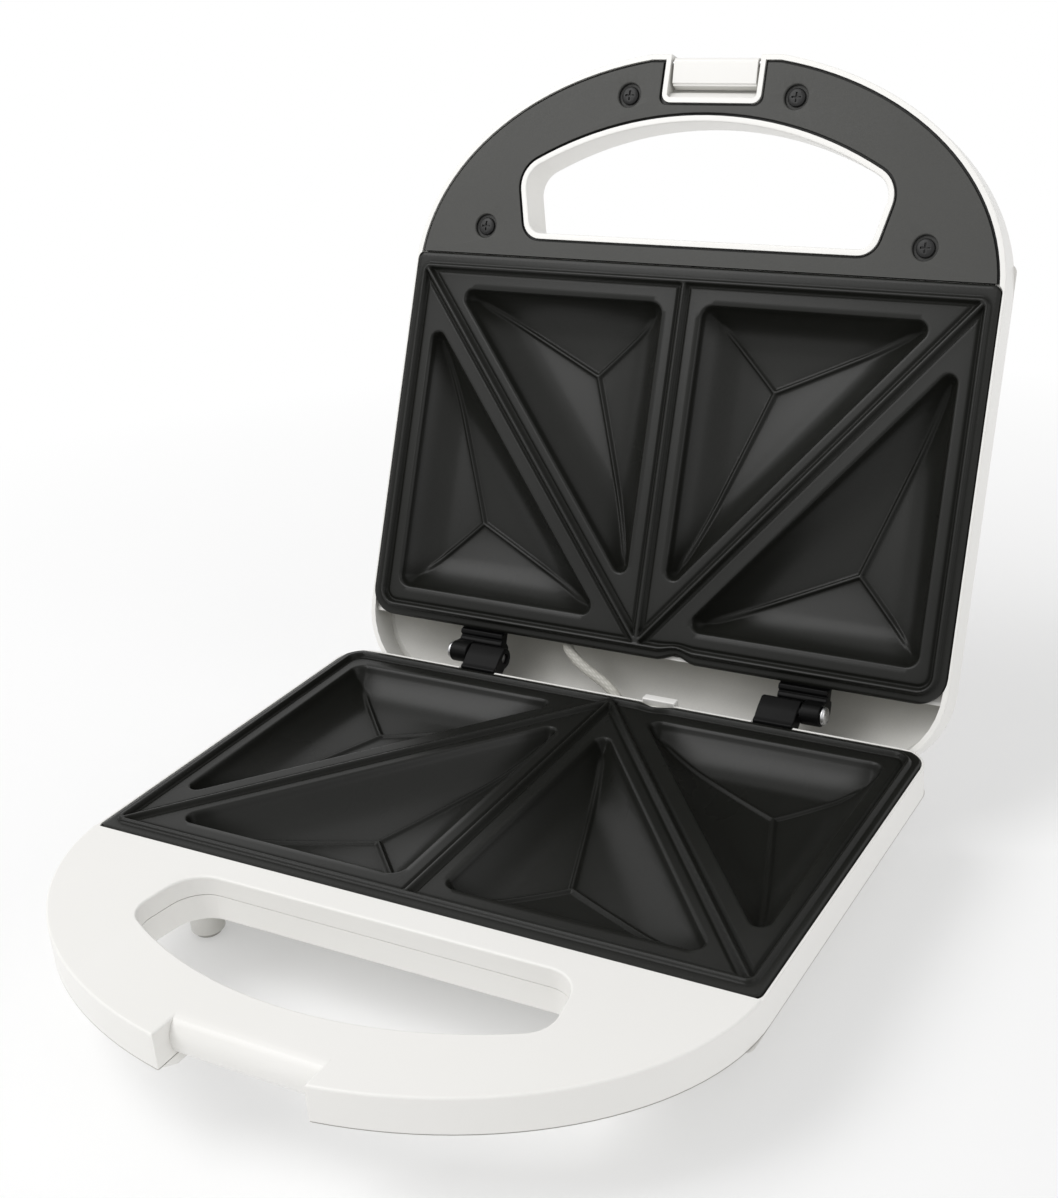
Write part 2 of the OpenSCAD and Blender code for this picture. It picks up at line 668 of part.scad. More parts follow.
module cord_clamp_screws()
    color(steel) in_base() for (sx = [-1, 1]) {
        rod(2.2, [gland_x + sx * clamp_half, clamp_y], clamp_z - 2.2, clamp_z + 3.6);
        rod(4.4, [gland_x + sx * clamp_half, clamp_y], clamp_z - 4, clamp_z - 2.2);
    }

module rubber_feet()
    color(pale_grey) in_base() for (p = feet) rod(pad_d, p, seam_z - pad_h - 1.5, seam_z);

// ---- Hinges, drawn for the right side ----

tongue_y = pocket_out_y + step_out + 0.5;
tongue_top = land_back + tongue_t;
head_top = tongue_top + 1.6;

module on_side(s) scale([s, 1, 1]) children();

module hinge_block()
    difference() {
        union() {
            block(block_x, block_x + block_w, tongue_y, hinge_y - 1, land_back, tongue_top);
            block(block_x, block_x + block_w, base_rear - rim_edge, hinge_y, 0.6, tongue_top);
            cross_rod(2 * barrel_r, block_x, block_x + block_w, hinge_y, 0);
        }
        cross_rod(pin_d + 2 * pin_hold, block_x - through, block_x + block_w + through, hinge_y, 0);
        for (x = hinge_screw_x(block_x, block_w))
            rod(screw_d - 0.4, [x, hinge_screw_y], land_back - through, tongue_top + through);
    }

function hinge_screw_x(x0, w) = [x0 + w / 2 - 3.6, x0 + w / 2 + 3.6];
hinge_screw_y = plate_d - flange_w - ridge_w / 2;

leaf_x0 = block_x + 4;
leaf_x1 = block_x + block_w + ear_gap + ear_w;

module hinge_leaf()
    difference() {
        union() {
            block(leaf_x0, leaf_x1, tongue_y, hinge_y - barrel_r, land_back, tongue_top);
            block(leaf_x0, leaf_x1, hinge_y - barrel_r - 1.5, hinge_y, barrel_r - 2, barrel_r + 3.4);
            block(leaf_x1 - ear_w, leaf_x1, hinge_y - barrel_r, hinge_y + barrel_r, 0, barrel_r + 1);
            cross_rod(2 * barrel_r, leaf_x1 - ear_w, leaf_x1, hinge_y, 0);
        }
        cross_rod(2 * (barrel_r + barrel_gap), leaf_x0 - through, block_x + block_w + ear_gap, hinge_y, 0);
        cross_rod(pin_d + 2 * pin_play, leaf_x0, leaf_x1 + through, hinge_y, 0);
        for (x = hinge_screw_x(leaf_x0, leaf_x1 - leaf_x0))
            rod(screw_d - 0.4, [x, hinge_screw_y], land_back - through, tongue_top + through);
    }

module hinge_pin() {
    cross_rod(pin_d, block_x + 1, leaf_x1 + 0.4, hinge_y, 0);
    cross_rod(pin_d + 2.4, leaf_x1 + 0.4, leaf_x1 + 1.8, hinge_y, 0);
}

module hinge_block_left() color(black) in_base() on_side(-1) hinge_block();
module hinge_block_right() color(black) in_base() on_side(1) hinge_block();
module hinge_pin_left() color(steel) in_base() on_side(-1) hinge_pin();
module hinge_pin_right() color(steel) in_base() on_side(1) hinge_pin();
module hinge_leaf_left() color(black) in_lid() on_side(-1) hinge_leaf();
module hinge_leaf_right() color(black) in_lid() on_side(1) hinge_leaf();

module tongue_screws(xs)
    both_sides() for (x = xs) {
        rod(screw_d - 0.5, [x, hinge_screw_y], flange_top + 0.2, tongue_top);
        rod(screw_d + 2, [x, hinge_screw_y], tongue_top, head_top);
    }

module hinge_block_screws() color(steel) in_base() tongue_screws(hinge_screw_x(block_x, block_w));
module hinge_leaf_screws() color(steel) in_lid() tongue_screws(hinge_screw_x(leaf_x0, leaf_x1 - leaf_x0));

// ---- Sleeved lead from the base to the lid's element ----

sleeve_base_x = -1;                      // where the lead leaves the base
sleeve_lid_x = -29.5;                    // where the lead enters the lid
sleeve_route = [for (p = [
    [sleeve_base_x - 3, -17, -13.5], [sleeve_base_x - 2, -10.5, -10], [sleeve_base_x - 1, -4.5, -7.4],
    [sleeve_base_x, 1.4, -6.8], [sleeve_base_x - 2.5, 5.8, -5.3], [sleeve_base_x - 9, 9.7, -3],
    [sleeve_lid_x + 10.5, 13.2, -0.6], [sleeve_lid_x + 4, 16.2, 1.8], [sleeve_lid_x, 18.4, 4.8],
    [sleeve_lid_x - 0.5, 21.8, 8.6], [sleeve_lid_x - 1, 25.8, 12.4]
]) [p[0], plate_d + p[1], p[2]]];
sleeve_sides = 8;

function direction(route, i) =
    let (v = route[min(i + 1, len(route) - 1)] - route[max(i - 1, 0)]) v / norm(v);
function ring(route, i, r) =
    let (t = direction(route, i), u = cross(t, [1, 0, 0]) / norm(cross(t, [1, 0, 0])), w = cross(t, u))
    [for (k = [0:sleeve_sides - 1])
        route[i] + r * (cos(360 * k / sleeve_sides) * u + sin(360 * k / sleeve_sides) * w)];

module tube(route, r) {
    n = len(route);
    s = sleeve_sides;
    polyhedron(
        points = [for (i = [0:n - 1]) each ring(route, i, r)],
        faces = concat(
            [[for (k = [0:s - 1]) k]],
            [for (i = [0:n - 2], k = [0:s - 1])
                [i * s + k, (i + 1) * s + k, (i + 1) * s + (k + 1) % s, i * s + (k + 1) % s]],
            [[for (k = [s - 1:-1:0]) (n - 1) * s + k]]));
}

module lead_sleeve() color(pale_grey) translate([0, -middle_y, seam_z]) tube(sleeve_route, sleeve_d / 2);

// ---- Lid ----

module lid_shell() {
    face = lid_handle_lift;
    recess_y = handle_front + recess_l;
    recess_floor = face + recess_depth;
    pivot_z = face + pivot_up;
    color(white) in_lid() difference() {
        union() {
            prism(housing(0, lid_rear, apron_r), face, band_end + slab);
            hull() {
                slice(body(half_w, body_front, lid_rear, 3, apron_r), band_end);
                slice(body(half_w - crown_mid_in, lid_mid_front, lid_rear - crown_mid_rear, 10, apron_r - 6),
                      crown_mid_h);
                slice(body(half_w - crown_in, lid_crown_front, lid_rear - crown_rear, 14, 20), lid_h - slab);
            }
            hull() {
                slice(housing(0, handle_start, 1), band_end);
                slice(housing(slope_in, handle_start, 1), lid_handle_back - slab);
            }
        }
        difference() {
            union() {
                prism(housing(wall, lid_rear - wall, apron_r - wall), face - through, band_end + 0.2);
                hull() {
                    slice(body(half_w - wall, body_front + grip_wall, lid_rear - wall, 3, apron_r - wall), band_end);
                    slice(body(half_w - crown_mid_in - wall, lid_mid_front + wall, lid_rear - crown_mid_rear - wall,
                               9, apron_r - 8), crown_mid_h - 1);
                    slice(body(half_w - crown_in - 1, lid_crown_front + 1, lid_rear - crown_rear - 1, 13, 19),
                          lid_h - wall);
                }
                hull() {
                    slice(housing(wall, -3, 1), band_end);
                    slice(housing(slope_in + wall, -4, 1), lid_handle_back - wall);
                }
            }
            prism(grip(grip_wall), face - 2 * through, lid_handle_back + through);
            // The wall behind the opening, the partition behind the plate, and the posts
            block(-half_w, half_w, body_front, body_front + grip_wall, liner_back, lid_handle_back);
            difference() {
                block(-half_w, half_w, base_rear - rim_edge, base_rear - rim_edge + 1.2, edge_top, crown_mid_h + 4);
                both_sides() block(leaf_x0 - seat_gap, leaf_x1 + seat_gap, plate_d, hinge_y, face - through,
                                   head_top + 1.4);
                block(sleeve_lid_x - sleeve_d, sleeve_lid_x + sleeve_d, plate_d, hinge_y, face - through,
                      face + 3 * sleeve_d);
            }
            block(-half_w, half_w, -plate_nose - 2, -plate_nose - seat_gap, liner_back, crown_mid_h);
            both_sides() block(plate_w / 2 - flange_w + seat_gap, half_w, -plate_nose, plate_d, flange_back,
                  band_end);
            for (p = screw_places) rod(post_d, p, liner_back, lid_handle_back);
            for (p = posts) rod(post_d, p, reflector_z + reflector_t + 3, lid_h);
            block(-recess_w / 2 - recess_edge, recess_w / 2 + recess_edge, handle_front, recess_y + recess_edge,
                  face - 2 * through, lid_handle_back);
        }
        // The plate's flange between the side edges
        block(-plate_w / 2 - seat_gap, plate_w / 2 + seat_gap, -plate_nose - seat_gap, plate_d + seat_gap,
              face - through, flange_back);
        prism(grip(0), face - 2 * through, lid_handle_back + through);
        for (p = screw_places) rod(screw_d - 0.4, p, liner_back - through, lid_handle_back - wall);
        for (p = posts) rod(screw_well_d - 4, p, reflector_z, reflector_z + reflector_t + 7);
        // The latch recess and the holes of its pin
        block(-recess_w / 2, recess_w / 2, handle_front - through, recess_y, face - through, recess_floor);
        cross_rod(latch_pin_d + 2 * pin_hold, -recess_w / 2 - recess_edge - through,
                  recess_w / 2 + recess_edge + through, handle_front + pivot_in, pivot_z);
        for (sx = [-1, 1]) rod(lens_d + 0.2, [sx * lens_x, lens_y], lid_h - wall - through, lid_h + through);
    }
}

module lid_handle_liner()
    color(dark_grey) in_lid() difference() {
        prism(housing(wall + joint_gap, handle_start - joint_gap, 1), lid_handle_lift, liner_back);
        prism(grip(grip_wall + joint_gap), lid_handle_lift - through, liner_back + through);
        block(-recess_w / 2 - recess_edge - joint_gap, recess_w / 2 + recess_edge + joint_gap,
              handle_front - through, handle_front + recess_l + recess_edge + joint_gap,
              lid_handle_lift - through, liner_back + through);
        block(-plate_w / 2 - seat_gap, plate_w / 2 + seat_gap, -plate_nose - seat_gap, handle_start + through,
              flange_top - joint_gap, liner_back + through);
        for (p = screw_places) {
            rod(screw_d + 0.3, p, lid_handle_lift - through, liner_back + through);
            rod(screw_head_d + 1, p, lid_handle_lift - through, lid_handle_lift + liner_t / 2);
        }
    }

module lid_liner_screws()
    color(black) in_lid() for (p = screw_places) mirror([0, 0, 1])
        screw(p, -lid_handle_lift - liner_t / 2, 8, screw_head_d, liner_t / 2 - 0.1);

module lid_cooking_plate()
    color(coating) in_lid() cooking_plate(hinge_screw_x(leaf_x0, leaf_x1 - leaf_x0));

module lid_plate_screws()
    color(steel) in_lid() for (p = posts) screw(p, reflector_z + reflector_t, 6, 4.6, 2);

module lid_heating_element() color(steel) in_lid() heating_element();

module lid_reflector() color(steel) in_lid() reflector();

module lens() {
    rod(lens_d, [0, lens_y], lid_h - wall - 2, lid_h + 0.6);
    rod(lens_d + 2.4, [0, lens_y], lid_h - wall - 1.6, lid_h - wall - 0.2);
}

module lamp()
    difference() {
        union() {
            rod(lens_d - 1, [0, lens_y], reflector_z + reflector_t + 2, lid_h - wall - 2.2);
            rod(lens_d + 1, [0, lens_y], reflector_z + reflector_t + 0.1, reflector_z + reflector_t + 2.1);
        }
        rod(lens_d - 4, [0, lens_y], lid_h - wall - 4, lid_h - wall - 2 + through);
    }

module power_lens() color([0.8, 0.1, 0.08]) in_lid() translate([-lens_x, 0, 0]) lens();
module ready_lens() color([0.1, 0.6, 0.2]) in_lid() translate([lens_x, 0, 0]) lens();
module power_lamp() color(white) in_lid() translate([-lens_x, 0, 0]) lamp();
module ready_lamp() color(white) in_lid() translate([lens_x, 0, 0]) lamp();

module latch_pin()
    color(steel) in_lid() cross_rod(latch_pin_d, -recess_w / 2 - recess_edge, recess_w / 2 + recess_edge,
                                    handle_front + pivot_in, lid_handle_lift + pivot_up);

module latch_clip() {
    pivot_y = handle_front + pivot_in;
    pivot_z = lid_handle_lift + pivot_up;
    color(white) in_lid() difference() {
        union() {
            cross_rod(latch_pin_d + 2, -clip_w / 2, clip_w / 2, pivot_y, pivot_z);
            block(-clip_w / 2, clip_w / 2, pivot_y, pivot_y + clip_l, pivot_z - clip_t / 2, pivot_z + clip_t / 2);
            block(-clip_w / 2, clip_w / 2, pivot_y + clip_l - hook_t, pivot_y + clip_l, pivot_z,
                  pivot_z + clip_t / 2 + hook_h);
        }
        cross_rod(latch_pin_d + 2 * pin_play, -clip_w / 2 - through, clip_w / 2 + through, pivot_y, pivot_z);
    }
}

base_shell();
base_top_frame();
base_shell_screws();
base_cooking_plate();
base_plate_screws();
base_heating_element();
base_reflector();
thermostat();
thermal_fuse();
terminal_block();
cord_gland();
cord_clamp();
cord_clamp_screws();
rubber_feet();
hinge_block_left();
hinge_block_right();
hinge_pin_left();
hinge_pin_right();
hinge_block_screws();
lead_sleeve();
lid_shell();
lid_handle_liner();
lid_liner_screws();
lid_cooking_plate();
lid_plate_screws();
lid_heating_element();
lid_reflector();
hinge_leaf_left();
hinge_leaf_right();
hinge_leaf_screws();
power_lens();
ready_lens();
power_lamp();
ready_lamp();
latch_pin();
latch_clip();
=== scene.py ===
"""Sandwich toaster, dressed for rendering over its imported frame."""
import json
from math import acos, asin, atan2, cos, degrees, pi, radians, sin

import bmesh
import bpy
from bmesh.types import BMVert
from bpy.props import FloatProperty, FloatVectorProperty, IntProperty, PointerProperty
from bpy.types import Operator, Panel, PropertyGroup
from mathutils import Matrix, Vector


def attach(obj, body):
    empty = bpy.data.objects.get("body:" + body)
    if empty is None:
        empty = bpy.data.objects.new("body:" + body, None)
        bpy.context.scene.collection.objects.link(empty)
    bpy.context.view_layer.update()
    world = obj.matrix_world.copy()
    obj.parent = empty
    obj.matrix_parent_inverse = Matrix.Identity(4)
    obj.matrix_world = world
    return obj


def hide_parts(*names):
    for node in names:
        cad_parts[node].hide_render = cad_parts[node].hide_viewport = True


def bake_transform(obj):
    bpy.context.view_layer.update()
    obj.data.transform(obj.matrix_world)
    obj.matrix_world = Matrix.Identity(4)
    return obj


bl_info = {
    "name": "Sandwich Toaster",
    "version": (1, 0, 0),
    "blender": (4, 5, 0),
    "location": "View3D > Sidebar > Toaster",
    "description": "Builds the detailed pieces of an open sandwich toaster over its frame",
    "category": "Object",
}

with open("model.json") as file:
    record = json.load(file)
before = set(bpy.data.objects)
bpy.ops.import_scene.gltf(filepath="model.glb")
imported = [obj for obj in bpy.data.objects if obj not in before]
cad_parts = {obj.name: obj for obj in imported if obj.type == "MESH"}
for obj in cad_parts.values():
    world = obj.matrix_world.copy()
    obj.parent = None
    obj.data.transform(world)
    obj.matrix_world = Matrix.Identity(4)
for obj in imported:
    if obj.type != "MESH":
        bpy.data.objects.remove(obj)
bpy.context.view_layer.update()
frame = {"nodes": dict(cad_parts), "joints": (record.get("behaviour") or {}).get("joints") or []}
NODES = frame["nodes"]
LID_HINGE = next(joint for joint in frame["joints"] if joint["name"] == "lid_hinge")
MM = 0.001

# Places in a half's own millimetres: y runs back from the handle line, z away from the closed joint
HINGE_Y = 148.3                 # the hinge axis
SEAM_HEIGHT = LID_HINGE["pos_m"][2] / MM
SIDES = (-1, 1)
HANDLE_SCREWS = [(side * x, y) for x, y in ((32.5, -62), (86, -12)) for side in SIDES]
POSTS = [(0, 20), (0, 110)]
FEET = [(side * 84, y) for y in (9, 133) for side in SIDES]


# ---------------------------------------------------------------- sizes

def length(name, description, value):
    """A length of the toaster, in metres."""
    return FloatProperty(name=name, description=description, default=value * MM, min=0.0,
                         unit="LENGTH", subtype="DISTANCE", precision=5)


def colour(name, description, value):
    """A linear colour of one of the finishes."""
    return FloatVectorProperty(name=name, description=description, default=value, size=3,
                               min=0.0, max=1.0, subtype="COLOR")


class PlateSizes(PropertyGroup):
    """Sizes of the two cooking plates."""
    width: length("Width", "Width of a plate over its flange", 228)
    depth: length("Depth", "Depth from the handle line to the rear edge", 139)
    nose: length("Nose", "Reach of the front flange past the handle line", 1)
    rear_corner: length("Rear corner", "Radius of the rear corners", 10)
    front_corner: length("Front corner", "Radius of the front corners", 3)
    flange: length("Flange", "Width of the flange outside the raised rim", 3.2)
    ridge: length("Ridge", "Width of the rim and of the sealing ridges", 3.4)
    rim_gap: length("Rim gap", "Half of the gap between the closed rims", 0.25)
    rim_height: length("Rim height", "Height of the rim over the flange", 1.2)
    groove: length("Groove", "Depth of the fine grooves beside the rim and the ridges", 0.45)
    pocket_depth: length("Pocket depth", "Depth of a pocket at the foot of its walls", 9.4)
    pocket_dish: length("Pocket dish", "Extra depth where a pocket's facets meet", 2.2)
    pocket_wall: length("Pocket wall", "Width of the hollow wall round a pocket", 14)
    pocket_corner: length("Pocket corner", "Radius of a pocket's widest corners", 5.6)
    crease: length("Crease", "Height of the raised creases in a pocket", 0.9)
    sheet: length("Sheet", "Thickness of the casting, measured upright", 1.7)
    grid: length("Mesh step", "Spacing of the plate's coarse mesh", 1.8)
    tolerance: length("Tolerance", "Error above which the mesh is made finer", 0.07)


class HousingSizes(PropertyGroup):
    """Sizes of the moulded housings and handles."""
    half_width: length("Half width", "Half of the width of a housing", 115.2)
    base_rear: length("Base rear", "Rear edge of the base, behind the handle line", 140.2)
    lid_rear: length("Lid rear", "Rear edge of the lid, behind the handle line", 164.3)
    lid_corner: length("Lid corner", "Radius of the lid's rear corners", 30)
    wall: length("Wall", "Wall of the housings", 2)
    handle_reach: length("Handle reach", "Reach of the handles in front of the handle line", 77)
    handle_round: length("Handle rounding", "Reach of the rounded outline before it is cut flat", 79)
    handle_start: length("Rounding start", "Where the rounded outline starts", 3.5)
    handle_thickness: length("Handle thickness", "Thickness of a handle", 15.3)
    base_drop: length("Base drop", "Depth of the base handle's top", 1.2)
    lid_lift: length("Lid lift", "Height of the lid handle's face", 1.8)
    band: length("Band", "Height of the upright band", 10.6)
    edge: length("Edge", "Depth of the housing's edge beside a plate", 1.85)
    lid_height: length("Lid height", "Height of the lid over the closed joint", 42)
    belly: length("Belly", "Depth of the base's belly", 33.5)
    grip_half: length("Opening half width", "Half width of the handle opening", 71.2)
    grip_front: length("Opening front", "Front edge of the handle opening", 53.5)
    grip_rear: length("Opening rear", "Rear edge of the handle opening", 9.8)
    grip_arc: length("Opening arc", "Radius of the opening's front edge", 137)
    base_grip_half: length("Base opening half width", "Half width of the base handle's opening", 69.4)
    base_grip_rear: length("Base opening rear", "Rear edge of the base handle's opening", 10.8)
    grip_wall: length("Opening wall", "Wall round the opening", 1.6)


class FinishColours(PropertyGroup):
    """Colours of the finishes, as linear values."""
    housing: colour("Housing", "Gloss of the white moulding", (0.852, 0.842, 0.818))
    liner: colour("Liner", "Dark grey handle liner", (0.056, 0.056, 0.053))
    coating: colour("Coating", "Non-stick coating", (0.0088, 0.0090, 0.0075))
    hinge: colour("Hinges", "Black hinge moulding", (0.003, 0.003, 0.003))
    steel: colour("Steel", "Pins and screws", (0.56, 0.56, 0.57))
    pads: colour("Pads", "Rubber pads under the feet", (0.42, 0.41, 0.38))
    sleeve: colour("Sleeve", "Braided sleeve of the lead", (0.50, 0.49, 0.45))
    ceramic: colour("Inner mouldings", "Terminal block and small inner mouldings", (0.62, 0.60, 0.54))


class StageSizes(PropertyGroup):
    """Camera and light."""
    focal_length: FloatProperty(name="Focal length", description="Lens of the camera, in millimetres on a "
                                "36 mm sensor", default=52.25, min=10)
    floor_size: FloatProperty(name="Floor size", description="Width of the floor", default=30.0, min=1,
                              unit="LENGTH", subtype="DISTANCE")
    key: FloatProperty(name="Key light", description="Power of the key light, in watts", default=10.4, min=0)
    segments: IntProperty(name="Round segments", description="Segments of a round piece", default=48, min=12)


def sizes(group):
    """The settings of one group, with its lengths turned into millimetres."""
    settings = getattr(bpy.context.scene, group)
    out = {}
    for name in settings_of(settings):
        value = getattr(settings, name)
        if settings.bl_rna.properties[name].unit == "LENGTH":
            value /= MM
        out[name] = value
    return type("Sizes", (), out)


def settings_of(group):
    """The names of a group's own settings."""
    return [name for name in group.bl_rna.properties.keys() if name not in ("name", "rna_type")]


def base_place():
    """Matrix from the base's own millimetres, with z down from the closed joint, to the frame."""
    shift = LID_HINGE["pos_m"][1] - HINGE_Y * MM
    return Matrix.Translation((0, shift, SEAM_HEIGHT * MM)) @ Matrix.Diagonal((MM, MM, -MM, 1))


def lid_place():
    """Matrix from the lid's own millimetres, with z up from the closed joint, to the open frame."""
    swing = Matrix.Rotation(-radians(LID_HINGE["range_deg"][1]), 4, "X")
    return (Matrix.Translation(LID_HINGE["pos_m"]) @ swing
            @ Matrix.Translation((0, -HINGE_Y * MM, 0)) @ Matrix.Scale(MM, 4))


PLACES = {"base": base_place, "lid": lid_place, "latch": lid_place}


def lying(y, z=0.0):
    """Matrix that lays an upright piece along x."""
    return Matrix.Translation((0, y, z)) @ Matrix.Rotation(pi / 2, 4, "Y")


# ---------------------------------------------------------------- mesh making

def edges_of(verts):
    """The edges at some points, each once and always in the same order."""
    return list(dict.fromkeys(e for v in verts if v.is_valid for e in v.link_edges))


class Pen:
    """Draws the right half of an outline, one line or arc at a time; close() mirrors it."""

    def __init__(self, bm, x, y, z=0.0):
        self.bm, self.z = bm, z
        self.tip = bm.verts.new((x, y, z))
        self.made = [self.tip]

    def line(self, x, y):
        """Draws a straight line to x, y."""
        self.tip = bmesh.ops.extrude_vert_indiv(self.bm, verts=[self.tip])["verts"][0]
        self.tip.co = (x, y, self.z)
        self.made.append(self.tip)
        return self

    def arc(self, x, y, turn, steps=8):
        """Turns about x, y by some degrees, anticlockwise if positive."""
        bmesh.ops.spin(self.bm, geom=[self.tip], cent=(x, y, self.z), axis=(0, 0, 1), angle=radians(turn),
                       steps=steps, use_duplicate=False)
        while True:
            ahead = [e.other_vert(self.tip) for e in self.tip.link_edges]
            ahead = [v for v in ahead if v not in self.made]
            if not ahead:
                return self
            self.tip = ahead[0]
            self.made.append(self.tip)

    def ellipse(self, y, half, reach, start, turn):
        """An elliptical arc about 0, y, drawn as a round one and then widened."""
        here = len(self.made)
        self.tip.co = (reach * cos(radians(start)), y + reach * sin(radians(start)), self.z)
        self.arc(0, y, turn, 28)
        bmesh.ops.scale(self.bm, vec=(half / reach, 1, 1), verts=self.made[here - 1:],
                        space=Matrix.Translation((0, -y, -self.z)))
        return self

    def close(self):
        """Adds the left half and returns the whole loop's edges."""
        copy = bmesh.ops.mirror(self.bm, geom=self.made + edges_of(self.made), axis="X", merge_dist=1e-4)
        return edges_of(self.made + [g for g in copy["geom"] if isinstance(g, BMVert)])


def housing_outline(bm, inset, rear, corner, z, notch=None, notch_round=0.0):
    """Outline of a housing: a rounded, flat-cut front and a rear with round corners."""
    h = sizes("toaster_housing")
    half, reach = h.half_width - inset, h.handle_round + h.handle_start - inset
    front = -h.handle_reach + inset
    cut = degrees(asin((front - h.handle_start) / reach))
    if notch:
        side = notch[0]
        pen = Pen(bm, 0, notch[1], z).line(side - notch_round, notch[1])
        if notch_round:
            pen.arc(side - notch_round, notch[1] - notch_round, -90, 6)
        if side < half * cos(radians(cut)):
            pen.line(side, front).line(half * cos(radians(cut)), front)
        else:
            pen.line(side, (notch[1] + front) / 2).line(side, front)
            cut = -degrees(acos(side / half))
    else:
        pen = Pen(bm, 0, front, z).line(half * cos(radians(cut)), front)
    if rear - corner < h.handle_start:
        stop = degrees(asin(min(0.0, (rear - h.handle_start) / reach)))
        pen.ellipse(h.handle_start, half, reach, cut, stop - cut)
    else:
        pen.ellipse(h.handle_start, half, reach, cut, -cut)
        pen.line(half, rear - corner).arc(half - corner, rear - corner, 90, 10)
    pen.line(0, rear)
    return pen.close()


def opening_outline(bm, half, rear, slant, rear_r, grow, z):
    """Outline of a handle opening: an arched front, slanted ends and round corners."""
    h = sizes("toaster_housing")
    front_r = 9.0
    turn = degrees(asin((half - front_r) / (h.grip_arc - front_r)))
    middle = h.grip_arc - h.grip_front
    c1 = Vector(((h.grip_arc - front_r) * sin(radians(turn)),
                 middle - (h.grip_arc - front_r) * cos(radians(turn))))
    c2 = Vector((half - slant - rear_r, -rear - rear_r))
    between = c2 - c1
    lean = degrees(asin((front_r - rear_r) / between.length) + atan2(-between.x, between.y))
    pen = Pen(bm, 0, middle - h.grip_arc - grow, z).arc(0, middle, turn, 14)
    pen.arc(c1.x, c1.y, 90 - turn + lean, 8)
    pen.line(c2.x + (rear_r + grow) * cos(radians(lean)), c2.y + (rear_r + grow) * sin(radians(lean)))
    pen.arc(c2.x, c2.y, 90 - lean, 8).line(0, -rear + grow)
    return pen.close()


def lid_opening(bm, grow, z):
    h = sizes("toaster_housing")
    return opening_outline(bm, h.grip_half, h.grip_rear, slant=3.0, rear_r=6.0, grow=grow, z=z)


def base_opening(bm, grow, z):
    h = sizes("toaster_housing")
    return opening_outline(bm, h.base_grip_half, h.base_grip_rear, slant=1.2, rear_r=11.0, grow=grow, z=z)


def body_outline(bm, half, y0, y1, r0, r1, z):
    """Rounded rectangle with its own front and rear corner radii."""
    pen = Pen(bm, 0, y0, z).line(half - r0, y0).arc(half - r0, y0 + r0, 90, 6)
    pen.line(half, y1 - r1).arc(half - r1, y1 - r1, 90, 8).line(0, y1)
    return pen.close()


def in_order(bm):
    """Sorts edges and faces by their points, so that every run gives the same mesh."""
    bm.verts.index_update()
    for part in (bm.edges, bm.faces):
        ranked = sorted(part, key=lambda item: sorted(v.index for v in item.verts))
        for place, item in enumerate(ranked):
            item.index = place
        part.sort()


def raise_up(bm, height):
    """Turns flat faces into a solid of some height."""
    top = bmesh.ops.extrude_face_region(bm, geom=bm.faces[:])["geom"]
    bmesh.ops.translate(bm, vec=(0, 0, height), verts=[g for g in top if isinstance(g, BMVert)])
    bmesh.ops.recalc_face_normals(bm, faces=bm.faces)
    in_order(bm)


def prism(outlines, z0, z1):
    """A solid from z0 to z1 over the area between outlines, each a function of a bmesh and z."""
    bm = bmesh.new()
    edges = [e for draw in outlines for e in draw(bm, z0) if e.is_valid]
    bmesh.ops.triangle_fill(bm, edges=edges, use_beauty=True)
    raise_up(bm, z1 - z0)
    return bm


def body_prism(half, y0, y1, r0, r1, z0, z1):
    return prism([lambda bm, z: body_outline(bm, half, y0, y1, r0, r1, z)], z0, z1)


def grip_prism(opening, grow, z0, z1):
    return prism([lambda bm, z: opening(bm, grow, z)], z0, z1)


def across(points, x0, x1):
    """A prism along x over a profile of y and z values. An arc is (y, z, turn) about a centre."""
    bm = bmesh.new()
    pen = Pen(bm, *points[0])
    for item in points[1:]:
        if len(item) == 2:
            pen.line(*item)
        else:
            pen.arc(*item)
    if (pen.tip.co - pen.made[0].co).length > 1e-3:
        bm.edges.new((pen.tip, pen.made[0]))
    bmesh.ops.remove_doubles(bm, verts=bm.verts, dist=1e-3)
    bmesh.ops.contextual_create(bm, geom=bm.edges[:])
    raise_up(bm, x1 - x0)
    turn = Matrix(((0, 0, 1, x0), (1, 0, 0, 0), (0, 1, 0, 0), (0, 0, 0, 1)))
    return moved(bm, turn)


def loft(rings):
    """A closed solid through rings that have the same number of points."""
    bm = bmesh.new()
    loops = [draw(bm) for draw in rings]
    for a, b in zip(loops, loops[1:]):
        bmesh.ops.bridge_loops(bm, edges=a + b)
    for loop in (loops[0], loops[-1]):
        bmesh.ops.contextual_create(bm, geom=loop)
    bmesh.ops.recalc_face_normals(bm, faces=bm.faces)
    return bm


def stepped(draw, steps):
    """A loft through one outline at several insets and heights."""
    return loft([lambda bm, d=d, z=z: draw(bm, d, z) for d, z in steps])


def rounded_ends(z0, z1, r0, r1):
    """Inset and height steps of an upright wall with rounded ends."""
    turns = [i * pi / 8 for i in range(5)]
    return ([(r0 * (1 - sin(a)), z0 + r0 * (1 - cos(a))) for a in turns]
            + [(r1 * (1 - cos(a)), z1 - r1 * (1 - sin(a))) for a in turns])


def grip_cutter(opening, face, back, r0, r1):
    """A cutter for a handle opening that rounds the opening's two rims."""
    return stepped(opening, [(r0, face - 2)] + rounded_ends(face, back, r0, r1) + [(r1, back + 2)])


def sloped_back(slope, start, rise, back):
    """Inset and height steps of a handle's sloping back."""
    return [(0, start), (0.35, rise), (slope - 0.9, back - 0.55), (slope - 0.25, back - 0.12),
            (slope + 0.6, back)]


